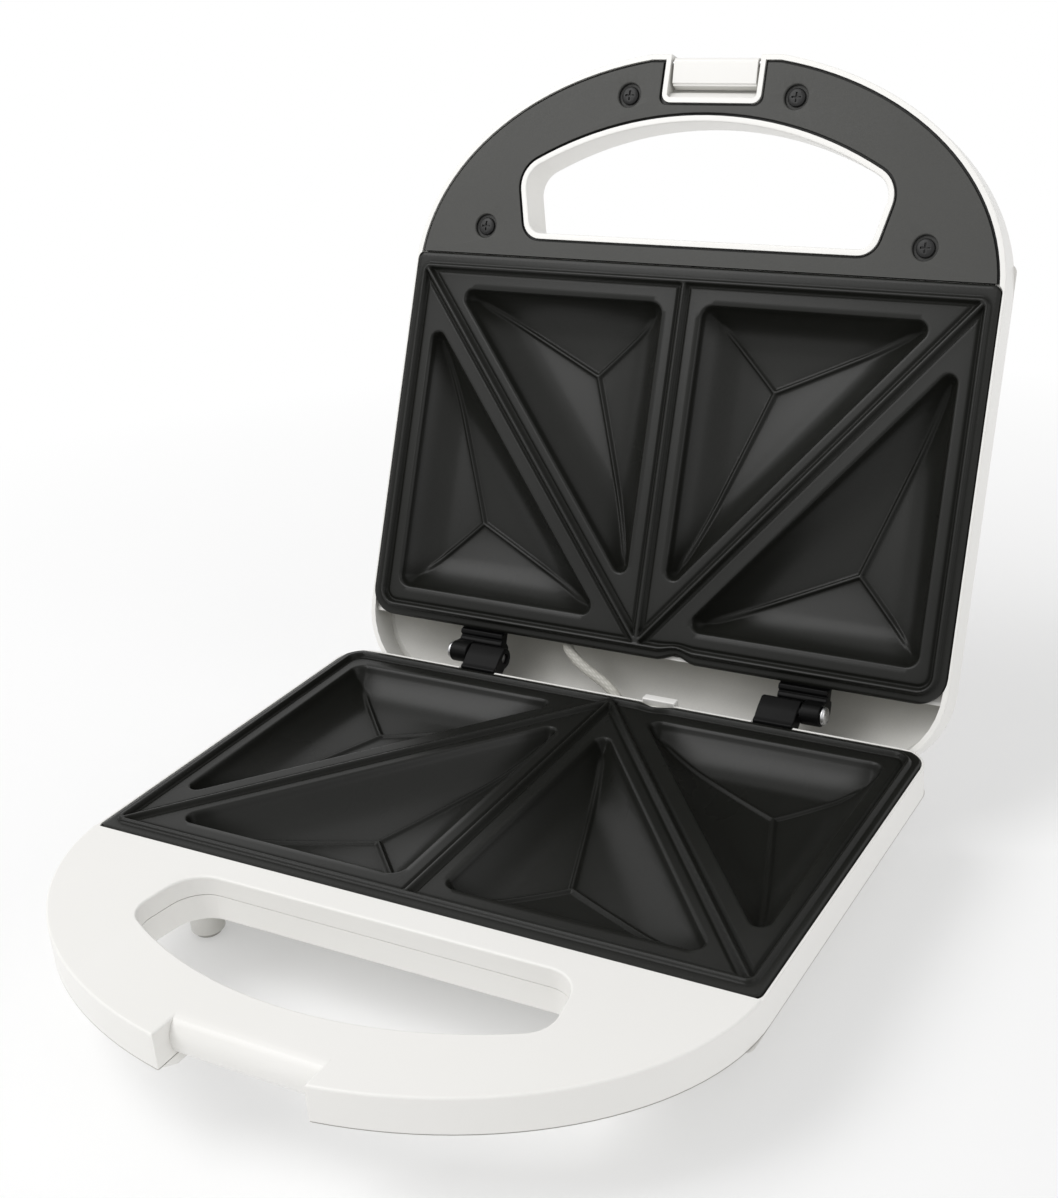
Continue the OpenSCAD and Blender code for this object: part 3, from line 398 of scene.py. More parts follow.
def box(x0, x1, y0, y1, z0, z1, bevel=0.0):
    """A block, with its edges rounded if a bevel is given."""
    bm = bmesh.new()
    bmesh.ops.create_cube(bm, size=1)
    bmesh.ops.scale(bm, vec=(x1 - x0, y1 - y0, z1 - z0), verts=bm.verts)
    bmesh.ops.translate(bm, vec=((x0 + x1) / 2, (y0 + y1) / 2, (z0 + z1) / 2), verts=bm.verts)
    if bevel:
        bmesh.ops.bevel(bm, geom=list(bm.edges), offset=bevel, segments=2, profile=0.5, affect="EDGES",
                        material=-1)
    return bm


def box_pair(x0, x1, *rest):
    """A block on each side of the middle."""
    return [box(*sorted((side * x0, side * x1)), *rest) for side in SIDES]


def turned(profile, segments=None, place=Matrix()):
    """A turned piece: a profile of radius and height pairs spun about z."""
    segments = segments or bpy.context.scene.toaster_stage.segments
    bm = bmesh.new()
    verts = [bm.verts.new((r, 0, z)) for r, z in profile]
    edges = [bm.edges.new(pair) for pair in zip(verts, verts[1:])]
    bmesh.ops.spin(bm, geom=verts + edges, cent=(0, 0, 0), axis=(0, 0, 1), angle=2 * pi, steps=segments,
                   use_merge=True, use_duplicate=False)
    bmesh.ops.remove_doubles(bm, verts=bm.verts, dist=1e-4)
    bmesh.ops.recalc_face_normals(bm, faces=bm.faces)
    bmesh.ops.transform(bm, matrix=place, verts=bm.verts)
    return bm


def rod(radius, x, y, z0, z1, round_off=0.0):
    """An upright rod, with rounded rims if asked."""
    e = round_off
    profile = [(0, z0), (radius, z0), (radius, z1), (0, z1)]
    if e:
        profile = [(0, z0), (radius - e, z0), (radius - e * 0.3, z0 + e * 0.3), (radius, z0 + e),
                   (radius, z1 - e), (radius - e * 0.3, z1 - e * 0.3), (radius - e, z1), (0, z1)]
    return turned(profile, place=Matrix.Translation((x, y, 0)))


def rods(radius, places, z0, z1, round_off=0.0):
    return [rod(radius, x, y, z0, z1, round_off) for x, y in places]


def joined(*parts):
    """One bmesh holding several."""
    bm = bmesh.new()
    for part in parts:
        mesh = bpy.data.meshes.new("part")
        part.to_mesh(mesh)
        part.free()
        bm.from_mesh(mesh)
        bpy.data.meshes.remove(mesh)
    return bm


def moved(bm, matrix):
    """The same mesh in another place; a mirrored one is turned outside out again."""
    bmesh.ops.transform(bm, matrix=matrix, verts=bm.verts)
    if matrix.to_3x3().determinant() < 0:
        bmesh.ops.reverse_faces(bm, faces=bm.faces)
    return bm


def mesh_object(bm, name):
    """An object in the scene that takes over a bmesh."""
    mesh = bpy.data.meshes.new(name)
    bm.to_mesh(mesh)
    bm.free()
    obj = bpy.data.objects.new(name, mesh)
    bpy.context.scene.collection.objects.link(obj)
    return obj


def carve(bm, cutters, operation="DIFFERENCE"):
    """Cuts the cutters out of a solid, or joins it with them."""
    target = mesh_object(bm, "carved")
    tools = [mesh_object(cutter, "cutter") for cutter in cutters]
    for tool in tools:
        mod = target.modifiers.new("cut", "BOOLEAN")
        mod.operation, mod.object, mod.solver = operation, tool, "MANIFOLD"
    bpy.context.view_layer.update()
    evaluated = target.evaluated_get(bpy.context.evaluated_depsgraph_get())
    out = bmesh.new()
    out.from_mesh(evaluated.to_mesh())
    evaluated.to_mesh_clear()
    bmesh.ops.triangulate(out, faces=[face for face in out.faces if len(face.verts) > 4])
    for obj in tools + [target]:
        mesh = obj.data
        bpy.data.objects.remove(obj)
        bpy.data.meshes.remove(mesh)
    return out


def sharp_edges(bm, angle):
    return [e for e in bm.edges if len(e.link_faces) == 2 and e.calc_face_angle(0) > radians(angle)]


def ease(bm, offset, segments, angle):
    """Rounds the edges that are sharper than an angle."""
    bmesh.ops.bevel(bm, geom=sharp_edges(bm, angle), offset=offset, segments=segments, profile=0.5,
                    affect="EDGES", material=-1, clamp_overlap=True)


def piece(name, bm, body, finish_name, *replaced, weighted=True, sharp=50):
    """Makes a finished piece: in place, riding on its body and standing for its CAD nodes."""
    if body:
        moved(bm, PLACES[body]())
    for face in bm.faces:
        face.smooth = True
    for edge in bm.edges:
        edge.smooth = len(edge.link_faces) == 2 and edge.calc_face_angle(pi) < radians(sharp)
    obj = mesh_object(bm, name)
    obj.data.materials.append(finish(finish_name))
    if weighted:
        mod = obj.modifiers.new("Weighted normals", "WEIGHTED_NORMAL")
        mod.keep_sharp = True
    if body:
        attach(obj, body)
    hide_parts(*replaced)
    return obj


def dress(finish_name, *nodes):
    """Gives CAD nodes their material."""
    for node in nodes:
        mesh = NODES[node].data
        mesh.materials.clear()
        mesh.materials.append(finish(finish_name))


# ---------------------------------------------------------------- materials

class Socket:
    """A socket or a number in a shader, with the sums that shader maths needs."""

    def __init__(self, nodes, value):
        self.nodes, self.value = nodes, value

    def _math(self, operation, *others):
        ops = [self.value] + [o.value if isinstance(o, Socket) else o for o in others]
        return self.nodes.node("ShaderNodeMath", {"operation": operation}, dict(enumerate(ops)))

    def __add__(self, other):
        return self._math("ADD", other)

    def __sub__(self, other):
        return self._math("SUBTRACT", other)

    def __mul__(self, other):
        return self._math("MULTIPLY", other)

    def __rsub__(self, other):
        return Socket(self.nodes, other)._math("SUBTRACT", self)

    __radd__ = __add__
    __rmul__ = __mul__

    def __pow__(self, other):
        return self._math("POWER", other)

    def larger(self, other):
        return self._math("MAXIMUM", other)

    def clamp(self, low, high, new_low=0.0, new_high=1.0):
        """Maps the range from low to high onto a new one, and holds it there."""
        return self.nodes.node("ShaderNodeMapRange", {"clamp": True},
                               {"Value": self.value, "From Min": low, "From Max": high,
                                "To Min": new_low, "To Max": new_high}, "Result")


class Nodes:
    """A node tree under construction."""

    def __init__(self, tree):
        self.tree = tree

    def node(self, kind, settings, inputs, output=0):
        """Adds a node: its settings first, then the values or links of its sockets."""
        node = self.tree.nodes.new(kind)
        for name, value in settings.items():
            setattr(node, name, value)
        for key, value in inputs.items():
            value = value.value if isinstance(value, Socket) else value
            if isinstance(value, bpy.types.NodeSocket):
                self.tree.links.new(value, node.inputs[key])
            else:
                node.inputs[key].default_value = value
        return None if output is None else Socket(self, node.outputs[output])


class Shader(Nodes):
    """A material under construction."""

    def __init__(self, name, **constants):
        self.material = bpy.data.materials.new(name)
        self.material.use_nodes = True
        super().__init__(self.material.node_tree)
        self.bsdf = self.tree.nodes["Principled BSDF"]
        for socket, value in constants.items():
            self.bsdf.inputs[socket.replace("_", " ")].default_value = value
        self.coords = self.node("ShaderNodeTexCoord", {}, {}, "Object")

    def noise(self, scale, detail, rough=0.5, distortion=0.0, stretch=None):
        where = self.coords
        if stretch:
            where = self.node("ShaderNodeMapping", {}, {"Vector": where, "Scale": stretch})
        return self.node("ShaderNodeTexNoise", {}, {"Vector": where, "Scale": scale, "Detail": detail,
                                                    "Roughness": rough, "Distortion": distortion}, "Fac")

    def cells(self, scale):
        return self.node("ShaderNodeTexVoronoi", {"feature": "F1"}, {"Vector": self.coords, "Scale": scale},
                         "Distance")

    def mix(self, mask, low, high):
        return self.node("ShaderNodeMix", {"data_type": "RGBA"},
                         {0: mask, 6: (*low, 1) if isinstance(low, tuple) else low,
                          7: (*high, 1) if isinstance(high, tuple) else high}, 2)

    def edge_wear(self, radius=0.0006):
        """Near 1 where an edge is close, from a bevelled normal against the true one."""
        soft = self.node("ShaderNodeBevel", {"samples": 4}, {"Radius": radius}, 0)
        true = self.node("ShaderNodeNewGeometry", {}, {}, "Normal")
        same = self.node("ShaderNodeVectorMath", {"operation": "DOT_PRODUCT"}, {0: soft, 1: true}, "Value")
        return (1 - same).clamp(0.01, 0.25)

    def openness(self, reach, low, high):
        """From 0 in narrow gaps and hollows to 1 on open faces."""
        share = self.node("ShaderNodeAmbientOcclusion", {"samples": 8}, {"Distance": reach}, "AO")
        return share.clamp(low, high)

    def bump(self, height, distance, strength, below=None):
        inputs = {"Height": height, "Distance": distance, "Strength": strength}
        if below is not None:
            inputs["Normal"] = below
        return self.node("ShaderNodeBump", {}, inputs, "Normal")

    def feed(self, **links):
        """Links values to the surface's sockets and returns the material."""
        for socket, value in links.items():
            self.tree.links.new(value.value, self.bsdf.inputs[socket.replace("_", " ")])
        return self.material


def tint(base, factor):
    """A colour times a factor for each of its parts, or one factor for all."""
    factors = factor if isinstance(factor, tuple) else (factor,) * 3
    return tuple(min(1.0, c * f) for c, f in zip(base, factors))


def grey(value):
    return (value,) * 3


FINISHES = {}


def finish(name):
    """Each finish is made once, from its own recipe."""
    if name not in FINISHES:
        FINISHES[name] = RECIPES[name]()
    return FINISHES[name]


def main_colour(name):
    return tuple(getattr(bpy.context.scene.toaster_finish, name))


def white_moulding():
    base = main_colour("housing")
    s = Shader("white_gloss_moulding", Roughness=0.34, Specular_IOR_Level=0.42)
    cloud = s.noise(9, 3, 0.55)
    flow = s.noise(26, 2, 0.5, 0.6, (1, 0.25, 1))
    mask = (cloud * 0.65 + flow * 0.35).clamp(0.2, 0.8)
    tone = s.mix(mask, tint(base, (0.975, 0.975, 0.965)), tint(base, (1.015, 1.015, 1.02)))
    # Painted shade: the white is mixed towards a greyer tone in hollows and narrow gaps, where the ambient
    # occlusion reading is low
    tone = s.mix(s.openness(0.03, 0.2, 0.62), tint(base, (0.64, 0.64, 0.62)), tone)
    rough = s.noise(60, 3, 0.6).clamp(0.1, 0.9, 0.27, 0.38)
    skin = s.noise(900, 2, 0.6)
    waves = s.noise(34, 1, 0.4)
    normal = s.bump(skin, 0.00002, 0.35, s.bump(waves, 0.0003, 0.12))
    return s.feed(Base_Color=tone, Roughness=rough, Normal=normal)


def grey_liner():
    base = main_colour("liner")
    s = Shader("dark_grey_liner", Specular_IOR_Level=0.28)
    cloud = s.noise(12, 3, 0.55).clamp(0.3, 0.7)
    tone = s.mix(cloud, tint(base, (0.93, 0.93, 0.92)), tint(base, (1.07, 1.07, 1.06)))
    dust = s.cells(700).clamp(0.02, 0.06, 1.0, 0.0) * s.noise(40, 1).clamp(0.58, 0.66)
    tone = s.mix(dust * 0.4, tone, (0.16, 0.16, 0.15))
    tone = s.mix(s.edge_wear() * 0.35, tone, tint(base, (1.7, 1.7, 1.68)))
    # Painted shade: the liner is darkened to near black in its narrow rebate and other tight gaps, from an
    # ambient occlusion reading
    tone = s.mix(s.openness(0.0018, 0.4, 0.8), grey(0.002), tone)
    grain = s.noise(1500, 2, 0.65)
    normal = s.bump(grain, 0.00004, 0.55)
    return s.feed(Base_Color=tone, Roughness=grain.clamp(0.3, 0.7, 0.46, 0.58), Normal=normal)


def coated_plate():
    base = main_colour("coating")
    s = Shader("nonstick_coating", Specular_IOR_Level=0.03, Coat_Roughness=0.28)
    cloud = s.noise(11, 4, 0.6).clamp(0.3, 0.7)
    tone = s.mix(cloud, tint(base, 0.85), tint(base, (1.25, 1.25, 1.3)))
    flakes = s.cells(1700).clamp(0.03, 0.09, 1.0, 0.0)
    tone = s.mix(flakes * 0.2, tone, (0.040, 0.042, 0.045))
    tone = s.mix(s.edge_wear() * 0.4, tone, (0.040, 0.040, 0.039))
    rub = s.noise(70, 3, 0.6, 0.3, (1, 0.35, 1))
    rough = (rub * 0.6 + cloud * 0.4).clamp(0.3, 0.7, 0.25, 0.34)
    normal = s.bump(s.noise(2200, 2, 0.6), 0.00003, 0.5, s.bump(s.noise(260, 2, 0.5), 0.00008, 0.25))
    gloss = (s.openness(0.009, 0.68, 0.98) ** 2.0).clamp(0, 1, 0.02, 0.44)
    return s.feed(Base_Color=tone, Roughness=rough, Coat_Weight=gloss, Normal=normal)


def black_moulding():
    base = main_colour("hinge")
    s = Shader("black_hinge_moulding", Specular_IOR_Level=0.07)
    cloud = s.noise(60, 3, 0.6).clamp(0.3, 0.7)
    tone = s.mix(cloud, base, tint(base, 1.8))
    tone = s.mix(s.edge_wear(0.0004) * 0.35, tone, grey(0.03))
    normal = s.bump(s.noise(1400, 2, 0.6), 0.00003, 0.4)
    return s.feed(Base_Color=tone, Roughness=cloud.clamp(0, 1, 0.24, 0.36), Normal=normal)


def plated_steel():
    base = main_colour("steel")
    s = Shader("plated_steel", Metallic=1.0)
    mask = s.noise(150, 3, 0.6, 0.2, (1, 1, 8)).clamp(0.3, 0.7)
    tone = s.mix(mask, tint(base, (0.88, 0.88, 0.87)), base)
    normal = s.bump(s.noise(900, 2, 0.6, 0, (1, 1, 12)), 0.00002, 0.4)
    return s.feed(Base_Color=tone, Roughness=mask.clamp(0, 1, 0.24, 0.4), Normal=normal)


def black_steel():
    s = Shader("blackened_steel", Specular_IOR_Level=0.3)
    mask = s.noise(400, 3, 0.6).clamp(0.3, 0.7)
    tone = s.mix(mask, grey(0.005), grey(0.014))
    tone = s.mix(s.edge_wear(0.0003) * 0.6, tone, grey(0.10))
    return s.feed(Base_Color=tone, Roughness=mask.clamp(0, 1, 0.36, 0.5),
                  Normal=s.bump(mask, 0.00002, 0.3))


def element_sheath():
    s = Shader("element_sheath", Metallic=0.9)
    mask = s.noise(90, 4, 0.6).clamp(0.3, 0.7)
    tone = s.mix(mask, (0.10, 0.09, 0.08), (0.26, 0.24, 0.22))
    return s.feed(Base_Color=tone, Roughness=mask.clamp(0, 1, 0.4, 0.62),
                  Normal=s.bump(s.noise(1200, 2, 0.6), 0.00003, 0.4))


def bright_sheet():
    s = Shader("rolled_sheet", Metallic=1.0)
    grain = s.noise(420, 3, 0.6, 0, (0.05, 1, 1))
    tone = s.mix(grain.clamp(0.3, 0.7), grey(0.60), (0.74, 0.74, 0.75))
    return s.feed(Base_Color=tone, Roughness=grain.clamp(0.3, 0.7, 0.26, 0.42),
                  Normal=s.bump(grain, 0.00002, 0.5))


def rubber_pad():
    base = main_colour("pads")
    s = Shader("rubber_pad", Specular_IOR_Level=0.3)
    mask = s.noise(240, 4, 0.6).clamp(0.3, 0.7)
    tone = s.mix(mask, tint(base, 0.8), base)
    return s.feed(Base_Color=tone, Roughness=mask.clamp(0, 1, 0.7, 0.85),
                  Normal=s.bump(s.noise(1600, 2, 0.6), 0.00004, 0.6))


def woven_sleeve():
    base = main_colour("sleeve")
    s = Shader("woven_sleeve", Specular_IOR_Level=0.3)
    a = s.node("ShaderNodeTexWave", {"wave_type": "BANDS", "bands_direction": "DIAGONAL"},
               {"Vector": s.coords, "Scale": 420.0, "Distortion": 0.6}, "Fac")
    b = s.node("ShaderNodeTexWave", {"wave_type": "BANDS", "bands_direction": "Z"},
               {"Vector": s.coords, "Scale": 300.0, "Distortion": 0.6}, "Fac")
    weave = (a * b).clamp(0.05, 0.6)
    tone = s.mix(weave, tint(base, (0.84, 0.84, 0.83)), tint(base, 1.06))
    return s.feed(Base_Color=tone, Roughness=weave.clamp(0, 1, 0.75, 0.55),
                  Normal=s.bump(weave, 0.00008, 0.35))


def inner_ceramic():
    base = main_colour("ceramic")
    s = Shader("inner_ceramic", Specular_IOR_Level=0.45)
    mask = s.noise(110, 4, 0.6).clamp(0.3, 0.7)
    tone = s.mix(mask, tint(base, (0.9, 0.9, 0.88)), base)
    return s.feed(Base_Color=tone, Roughness=mask.clamp(0, 1, 0.38, 0.55),
                  Normal=s.bump(s.noise(900, 2, 0.6), 0.00004, 0.4))


def lens_plastic(name, low, high):
    def recipe():
        s = Shader(name, Specular_IOR_Level=0.6, IOR=1.49)
        rings = s.node("ShaderNodeTexWave", {"wave_type": "BANDS", "bands_direction": "X"},
                       {"Vector": s.coords, "Scale": 240.0}, "Fac")
        mask = (rings * 0.5 + s.noise(80, 2) * 0.5).clamp(0.2, 0.8)
        return s.feed(Base_Color=s.mix(mask, low, high), Roughness=mask.clamp(0, 1, 0.1, 0.22),
                      Normal=s.bump(rings, 0.0001, 0.3))
    return recipe


RECIPES = {
    "white": white_moulding, "liner": grey_liner, "coating": coated_plate, "black": black_moulding,
    "steel": plated_steel, "black_steel": black_steel, "element": element_sheath, "sheet": bright_sheet,
    "rubber": rubber_pad, "sleeve": woven_sleeve, "ceramic": inner_ceramic,
    "red_lens": lens_plastic("red_lens", (0.30, 0.010, 0.008), (0.62, 0.030, 0.020)),
    "green_lens": lens_plastic("green_lens", (0.010, 0.16, 0.035), (0.03, 0.36, 0.08)),
}


# ---------------------------------------------------------------- cooking plates

def smooth(t):
    """A step from 0 to 1 with soft ends."""
    t = max(0.0, min(1.0, t))
    return t * t * (3 - 2 * t)


def hump(distance, half, soft):
    """1 within half of a line, falling to 0 over a soft edge."""
    return 1 - smooth((abs(distance) - half) / soft)


def rounded_inward(distances, radius):
    """Distance inward from straight sides whose corners are rounded."""
    first, second = sorted(distances)[:2]
    if second >= radius:
        return first
    return radius - ((radius - first) ** 2 + (radius - second) ** 2) ** 0.5


class Pocket:
    """A triangular pocket: its sides, and the creases that halve its corners."""

    def __init__(self, corners):
        corners = [Vector(c) for c in corners]
        self.sides = []
        for i, here in enumerate(corners):
            ahead = corners[(i + 1) % 3]
            inward = Vector((ahead.y - here.y, here.x - ahead.x)).normalized()
            if inward.dot(corners[(i + 2) % 3] - here) < 0:
                inward.negate()
            self.sides.append((inward, inward.dot(here)))
        a, b, c = corners
        self.inradius = abs((b - a).cross(c - a)) / ((a - b).length + (b - c).length + (c - a).length)

    def distances(self, point):
        """Distance and inward direction of every side, nearest first."""
        return sorted(((n.dot(point) - level, n) for n, level in self.sides), key=lambda side: side[0])


class PlateShape:
    """Height of a cooking plate's cooking side, as a depth from the closed joint."""
    LAND_STEP = 0.2             # how far the land lies under the flange
    FRONT = 3.5                 # where the land starts behind the handle line
    RIM_EDGE = 0.75             # outer edge of the land, inside the flange
    TAB_X, TAB_HALF = 16.0, 7.5     # the notch for the locating tab
    TAB_DEPTH, TAB_REACH = 2.2, 9
    NEAR, CLEAR = 7.8, 6.3      # the inner pockets' distance from the middle and from the diagonal
    POCKET_FRONT = 12.4         # their front edge
    OUTER_CLEAR = 8.2           # the outer pockets' distance from the diagonal
    OUTER_SIDE, OUTER_REAR = 10.6, 11.6     # and from the plate's edges
    RIM_LINE, RIM_GROOVE = 0.8, 2.5     # middles of the rim's bead and of the groove inside it
    RIDGE_GROOVE = 2.0          # middle of the grooves beside a ridge
    LIP_START, LIP_WIDTH = 0.5, 1.4     # the steep lip round a pocket
    CREASE_START, CREASE_FADE = 6, 8    # where a crease rises out of its corner
    EDGE_ROUND = 1.2            # width of the rounded outer edge

    def __init__(self):
        p = sizes("toaster_plate")
        self.p = p
        self.flange = p.rim_gap + p.rim_height
        self.land = self.flange + self.LAND_STEP
        start = Vector((p.width / 2 - p.flange - p.ridge, self.FRONT + p.ridge))
        end = Vector((p.ridge / 2, p.depth - p.flange - p.ridge))
        run = end - start
        self.normal = Vector((run.y, -run.x)).normalized()
        self.offset = self.normal.dot(start)
        x, y = p.width / 2 - self.OUTER_SIDE, p.depth - self.OUTER_REAR
        self.pockets = [self.pocket(self.NEAR, self.POCKET_FRONT, -self.CLEAR),
                        self.pocket(x, y, self.OUTER_CLEAR)]

    def pocket(self, x, y, off):
        """A pocket with its right angle at x, y and its long side off the diagonal."""
        level = self.offset + off
        return Pocket([(x, y), ((level - self.normal.y * y) / self.normal.x, y),
                       (x, (level - self.normal.x * x) / self.normal.y)])

    def indent(self, x):
        """Depth of the notch in the rear edge that the locating tab fills."""
        return self.TAB_DEPTH * smooth(1 - abs(x - self.TAB_X) / self.TAB_HALF)

    def depth(self, x, y):
        p, notch = self.p, self.indent(x)
        rear_edge = p.depth - notch * smooth((y - p.depth + self.TAB_REACH) / (self.TAB_REACH - notch))
        x = abs(x)
        side, rear, front = p.width / 2 - p.flange - x, rear_edge - p.flange - y, y - self.FRONT
        corner = p.rear_corner - p.flange if rear < front else p.front_corner
        near = rounded_inward([side, rear, front], corner)
        point = Vector((x, y))
        ridges = (self.normal.dot(point) - self.offset, x)
        z = self.flange
        if near > self.RIM_EDGE:
            grooves = [hump(near - self.RIM_GROOVE, 0.1, 0.8)]
            grooves += [hump(abs(line) - self.RIDGE_GROOVE, 0.1, 0.7) for line in ridges]
            z = self.land + p.groove * max(grooves)
            for pocket in self.pockets:
                sides = pocket.distances(point)
                z = max(z, self.land + self.pocket_depth(pocket, sides))
        beads = [(p.rim_gap, hump(near - self.RIM_LINE, 0.4, 0.65))]
        if near > 0.4:
            beads += [(p.rim_gap + 0.2, hump(line, 0.45, 0.75)) for line in ridges]
        for top, rise in beads:
            z = min(z, z - (z - top) * rise)
        inside = min(p.width / 2 - x, y + p.nose, rear_edge - y)
        if inside < self.EDGE_ROUND:
            z += (self.EDGE_ROUND - inside) ** 2 * 0.45
        return z

    def pocket_depth(self, pocket, sides):
        """Depth under the land: a steep lip, a hollow wall, a dished floor and raised creases."""
        p = self.p
        first, second = sides[0], sides[1]
        turn = first[1].dot(second[1])
        square = (1 + turn) / 2     # the squared sine of half the nearest corner
        radius = p.pocket_corner * square ** 0.3
        a, b = first[0] - radius, second[0] - radius
        lip = first[0]
        if turn * a > b:
            lip = radius - ((a * a + b * b - 2 * a * b * turn) / (1 - turn * turn)) ** 0.5
        lip += self.LIP_START
        if lip <= 0:
            return 0.0
        curve = 1 - (1 - min(1.0, lip / p.pocket_wall)) ** 2
        dish = smooth(first[0] / pocket.inradius)
        deep = p.pocket_depth * curve ** 0.8 * smooth(lip / self.LIP_WIDTH) ** 0.5 + p.pocket_dish * dish
        off_crease = (second[0] - first[0]) / (2 * (1 - square) ** 0.5)
        from_corner = first[0] / square ** 0.5
        rise = smooth((from_corner - self.CREASE_START) / self.CREASE_FADE)
        return deep - p.crease * hump(off_crease, 0.15, 1.0) * rise


def round_corners(p, x, y):
    """Moves a point of a square grid into a plate's rounded outline."""
    half, rear = p.width / 2, y > p.depth / 2
    r = p.rear_corner if rear else p.front_corner
    u = (abs(x) - (half - r)) / r
    w = ((y - (p.depth - r)) if rear else (-p.nose + r - y)) / r
    if u <= 0 or w <= 0:
        return x, y
    u, w = u * (1 - w * w / 2) ** 0.5, w * (1 - u * u / 2) ** 0.5
    side = 1 if x > 0 else -1
    return (half - r + u * r) * side, p.depth - r + w * r if rear else -p.nose + r - w * r


def cooking_plate():
    """A plate as a shaped sheet over a coarser back, finer where its shape turns."""
    shape = PlateShape()
    p = shape.p
    deep = p.depth + p.nose
    bm = bmesh.new()
    bmesh.ops.create_grid(bm, x_segments=int(p.width / p.grid), y_segments=int(deep / p.grid), size=0.5)
    for v in bm.verts:
        x, y = round_corners(p, v.co.x * p.width, (v.co.y + 0.5) * deep - p.nose)
        y -= shape.indent(x) * smooth((y - p.depth + shape.TAB_REACH) / shape.TAB_REACH)
        v.co = (x, y, shape.depth(x, y))
    back = bmesh.ops.duplicate(bm, geom=bm.verts[:] + bm.edges[:] + bm.faces[:])["geom"]
    back = {g for g in back if isinstance(g, BMVert)}
    bmesh.ops.translate(bm, vec=(0, 0, p.sheet), verts=list(back))
    rims = [e for e in bm.edges if e.is_boundary]
    steps = [(i / 4, j / 4) for i in range(5) for j in range(5)]

    def turns(face):
        a, b, c, d = [v.co for v in face.verts]
        for u, w in steps:
            here = (a * (1 - u) + b * u) * (1 - w) + (d * (1 - u) + c * u) * w
            if abs(shape.depth(here.x, here.y) - here.z) > p.tolerance:
                return True
        return False
    front = [f for f in bm.faces if f.verts[0] not in back]
    edges = dict.fromkeys(e for f in front if turns(f) for e in f.edges if not e.is_boundary)
    fresh = bmesh.ops.subdivide_edges(bm, edges=list(edges), cuts=3, use_grid_fill=True)["geom_inner"]
    for v in {g for g in fresh if isinstance(g, BMVert)}:
        v.co.z = shape.depth(v.co.x, v.co.y)
    bmesh.ops.bridge_loops(bm, edges=rims)
    bmesh.ops.recalc_face_normals(bm, faces=bm.faces)
    return bm


class TOASTER_OT_plates(Operator):
    """Makes the two ridged cooking plates"""
    bl_idname = "toaster.plates"
    bl_label = "Cooking plates"

    def execute(self, context):
        first = cooking_plate()
        second = first.copy()
        piece("base_plate_casting", first, "base", "coating", "base_cooking_plate", weighted=False, sharp=70)
        piece("lid_plate_casting", second, "lid", "coating", "lid_cooking_plate", weighted=False, sharp=70)
        return {"FINISHED"}


# ---------------------------------------------------------------- housings

PLATE_GAP = 0.3                 # gap between a plate and its housing
WIDE = 130                      # past both sides of a housing, for cutters
BOSS = 3.6                      # radius of the screws' bosses
LEG = 5.5                       # radius of the legs
CATCH_HALF = 24.5               # half width of the notch with the catch bar
CATCH_WALL = -66.8              # rear wall of that notch
RECESS_HALF = 17.5              # half width of the latch recess
RECESS_END = -61.4              # its rear end
RECESS_FLOOR = 8.0              # its depth
RECESS_EDGE = 1.8               # wall between it and the liner
RECESS_CORNER = 1.5             # radius of its rear corners
LATCH_Y, LATCH_Z = -74.2, 3.9   # the latch pin's place
GLAND_X = -40                   # the cord gland's place
GLAND_RISE = 9.5                # height of the gland's middle over the belly's floor
LENS_X, LENS_Y = 14, 40         # places of the indicator lenses


def screw_wells(places, bore, start, seat, end):
    """Cutters for screws: a bore and a wider well for the head."""
    return [cutter for x, y in places
            for cutter in (rod(bore, x, y, start, end), rod(3.5, x, y, seat, end))]


def belly_ring(bm, h, row, shrink=0.0):
    """One outline of the base's belly, from its insets, corner and height."""
    inset, front, rear, corner, z = row
    return body_outline(bm, h.half_width - inset - shrink, front + shrink * 0.8,
                        h.base_rear - rear - shrink * 0.7, corner, max(corner, 10.0), z)


def crown_ring(bm, h, row, shrink=0.0, drop=0.0):
    """One outline of the lid's crown, from its insets, corners and height."""
    inset, front, rear, front_corner, rear_corner, z = row
    return body_outline(bm, h.half_width - inset - shrink, front + shrink, h.lid_rear - rear - shrink,
                        max(2.0, front_corner - shrink / 2), rear_corner - shrink, z - drop)


def catch_bar(h):
    """The round bar across the notch, which the clip hooks over."""
    wall, top, thick, radius = CATCH_WALL, h.base_drop, 1.8, 4.6
    bar = across([(wall, top), (wall + thick, top), (wall + thick, top + 2 * radius),
                  (wall, top + 2 * radius), (wall, top + radius, 180)], -CATCH_HALF - 0.5, CATCH_HALF + 0.5)
    bmesh.ops.scale(bar, vec=(1, 1, 1.3), verts=bar.verts, space=Matrix.Translation((0, 0, -top)))
    return bar


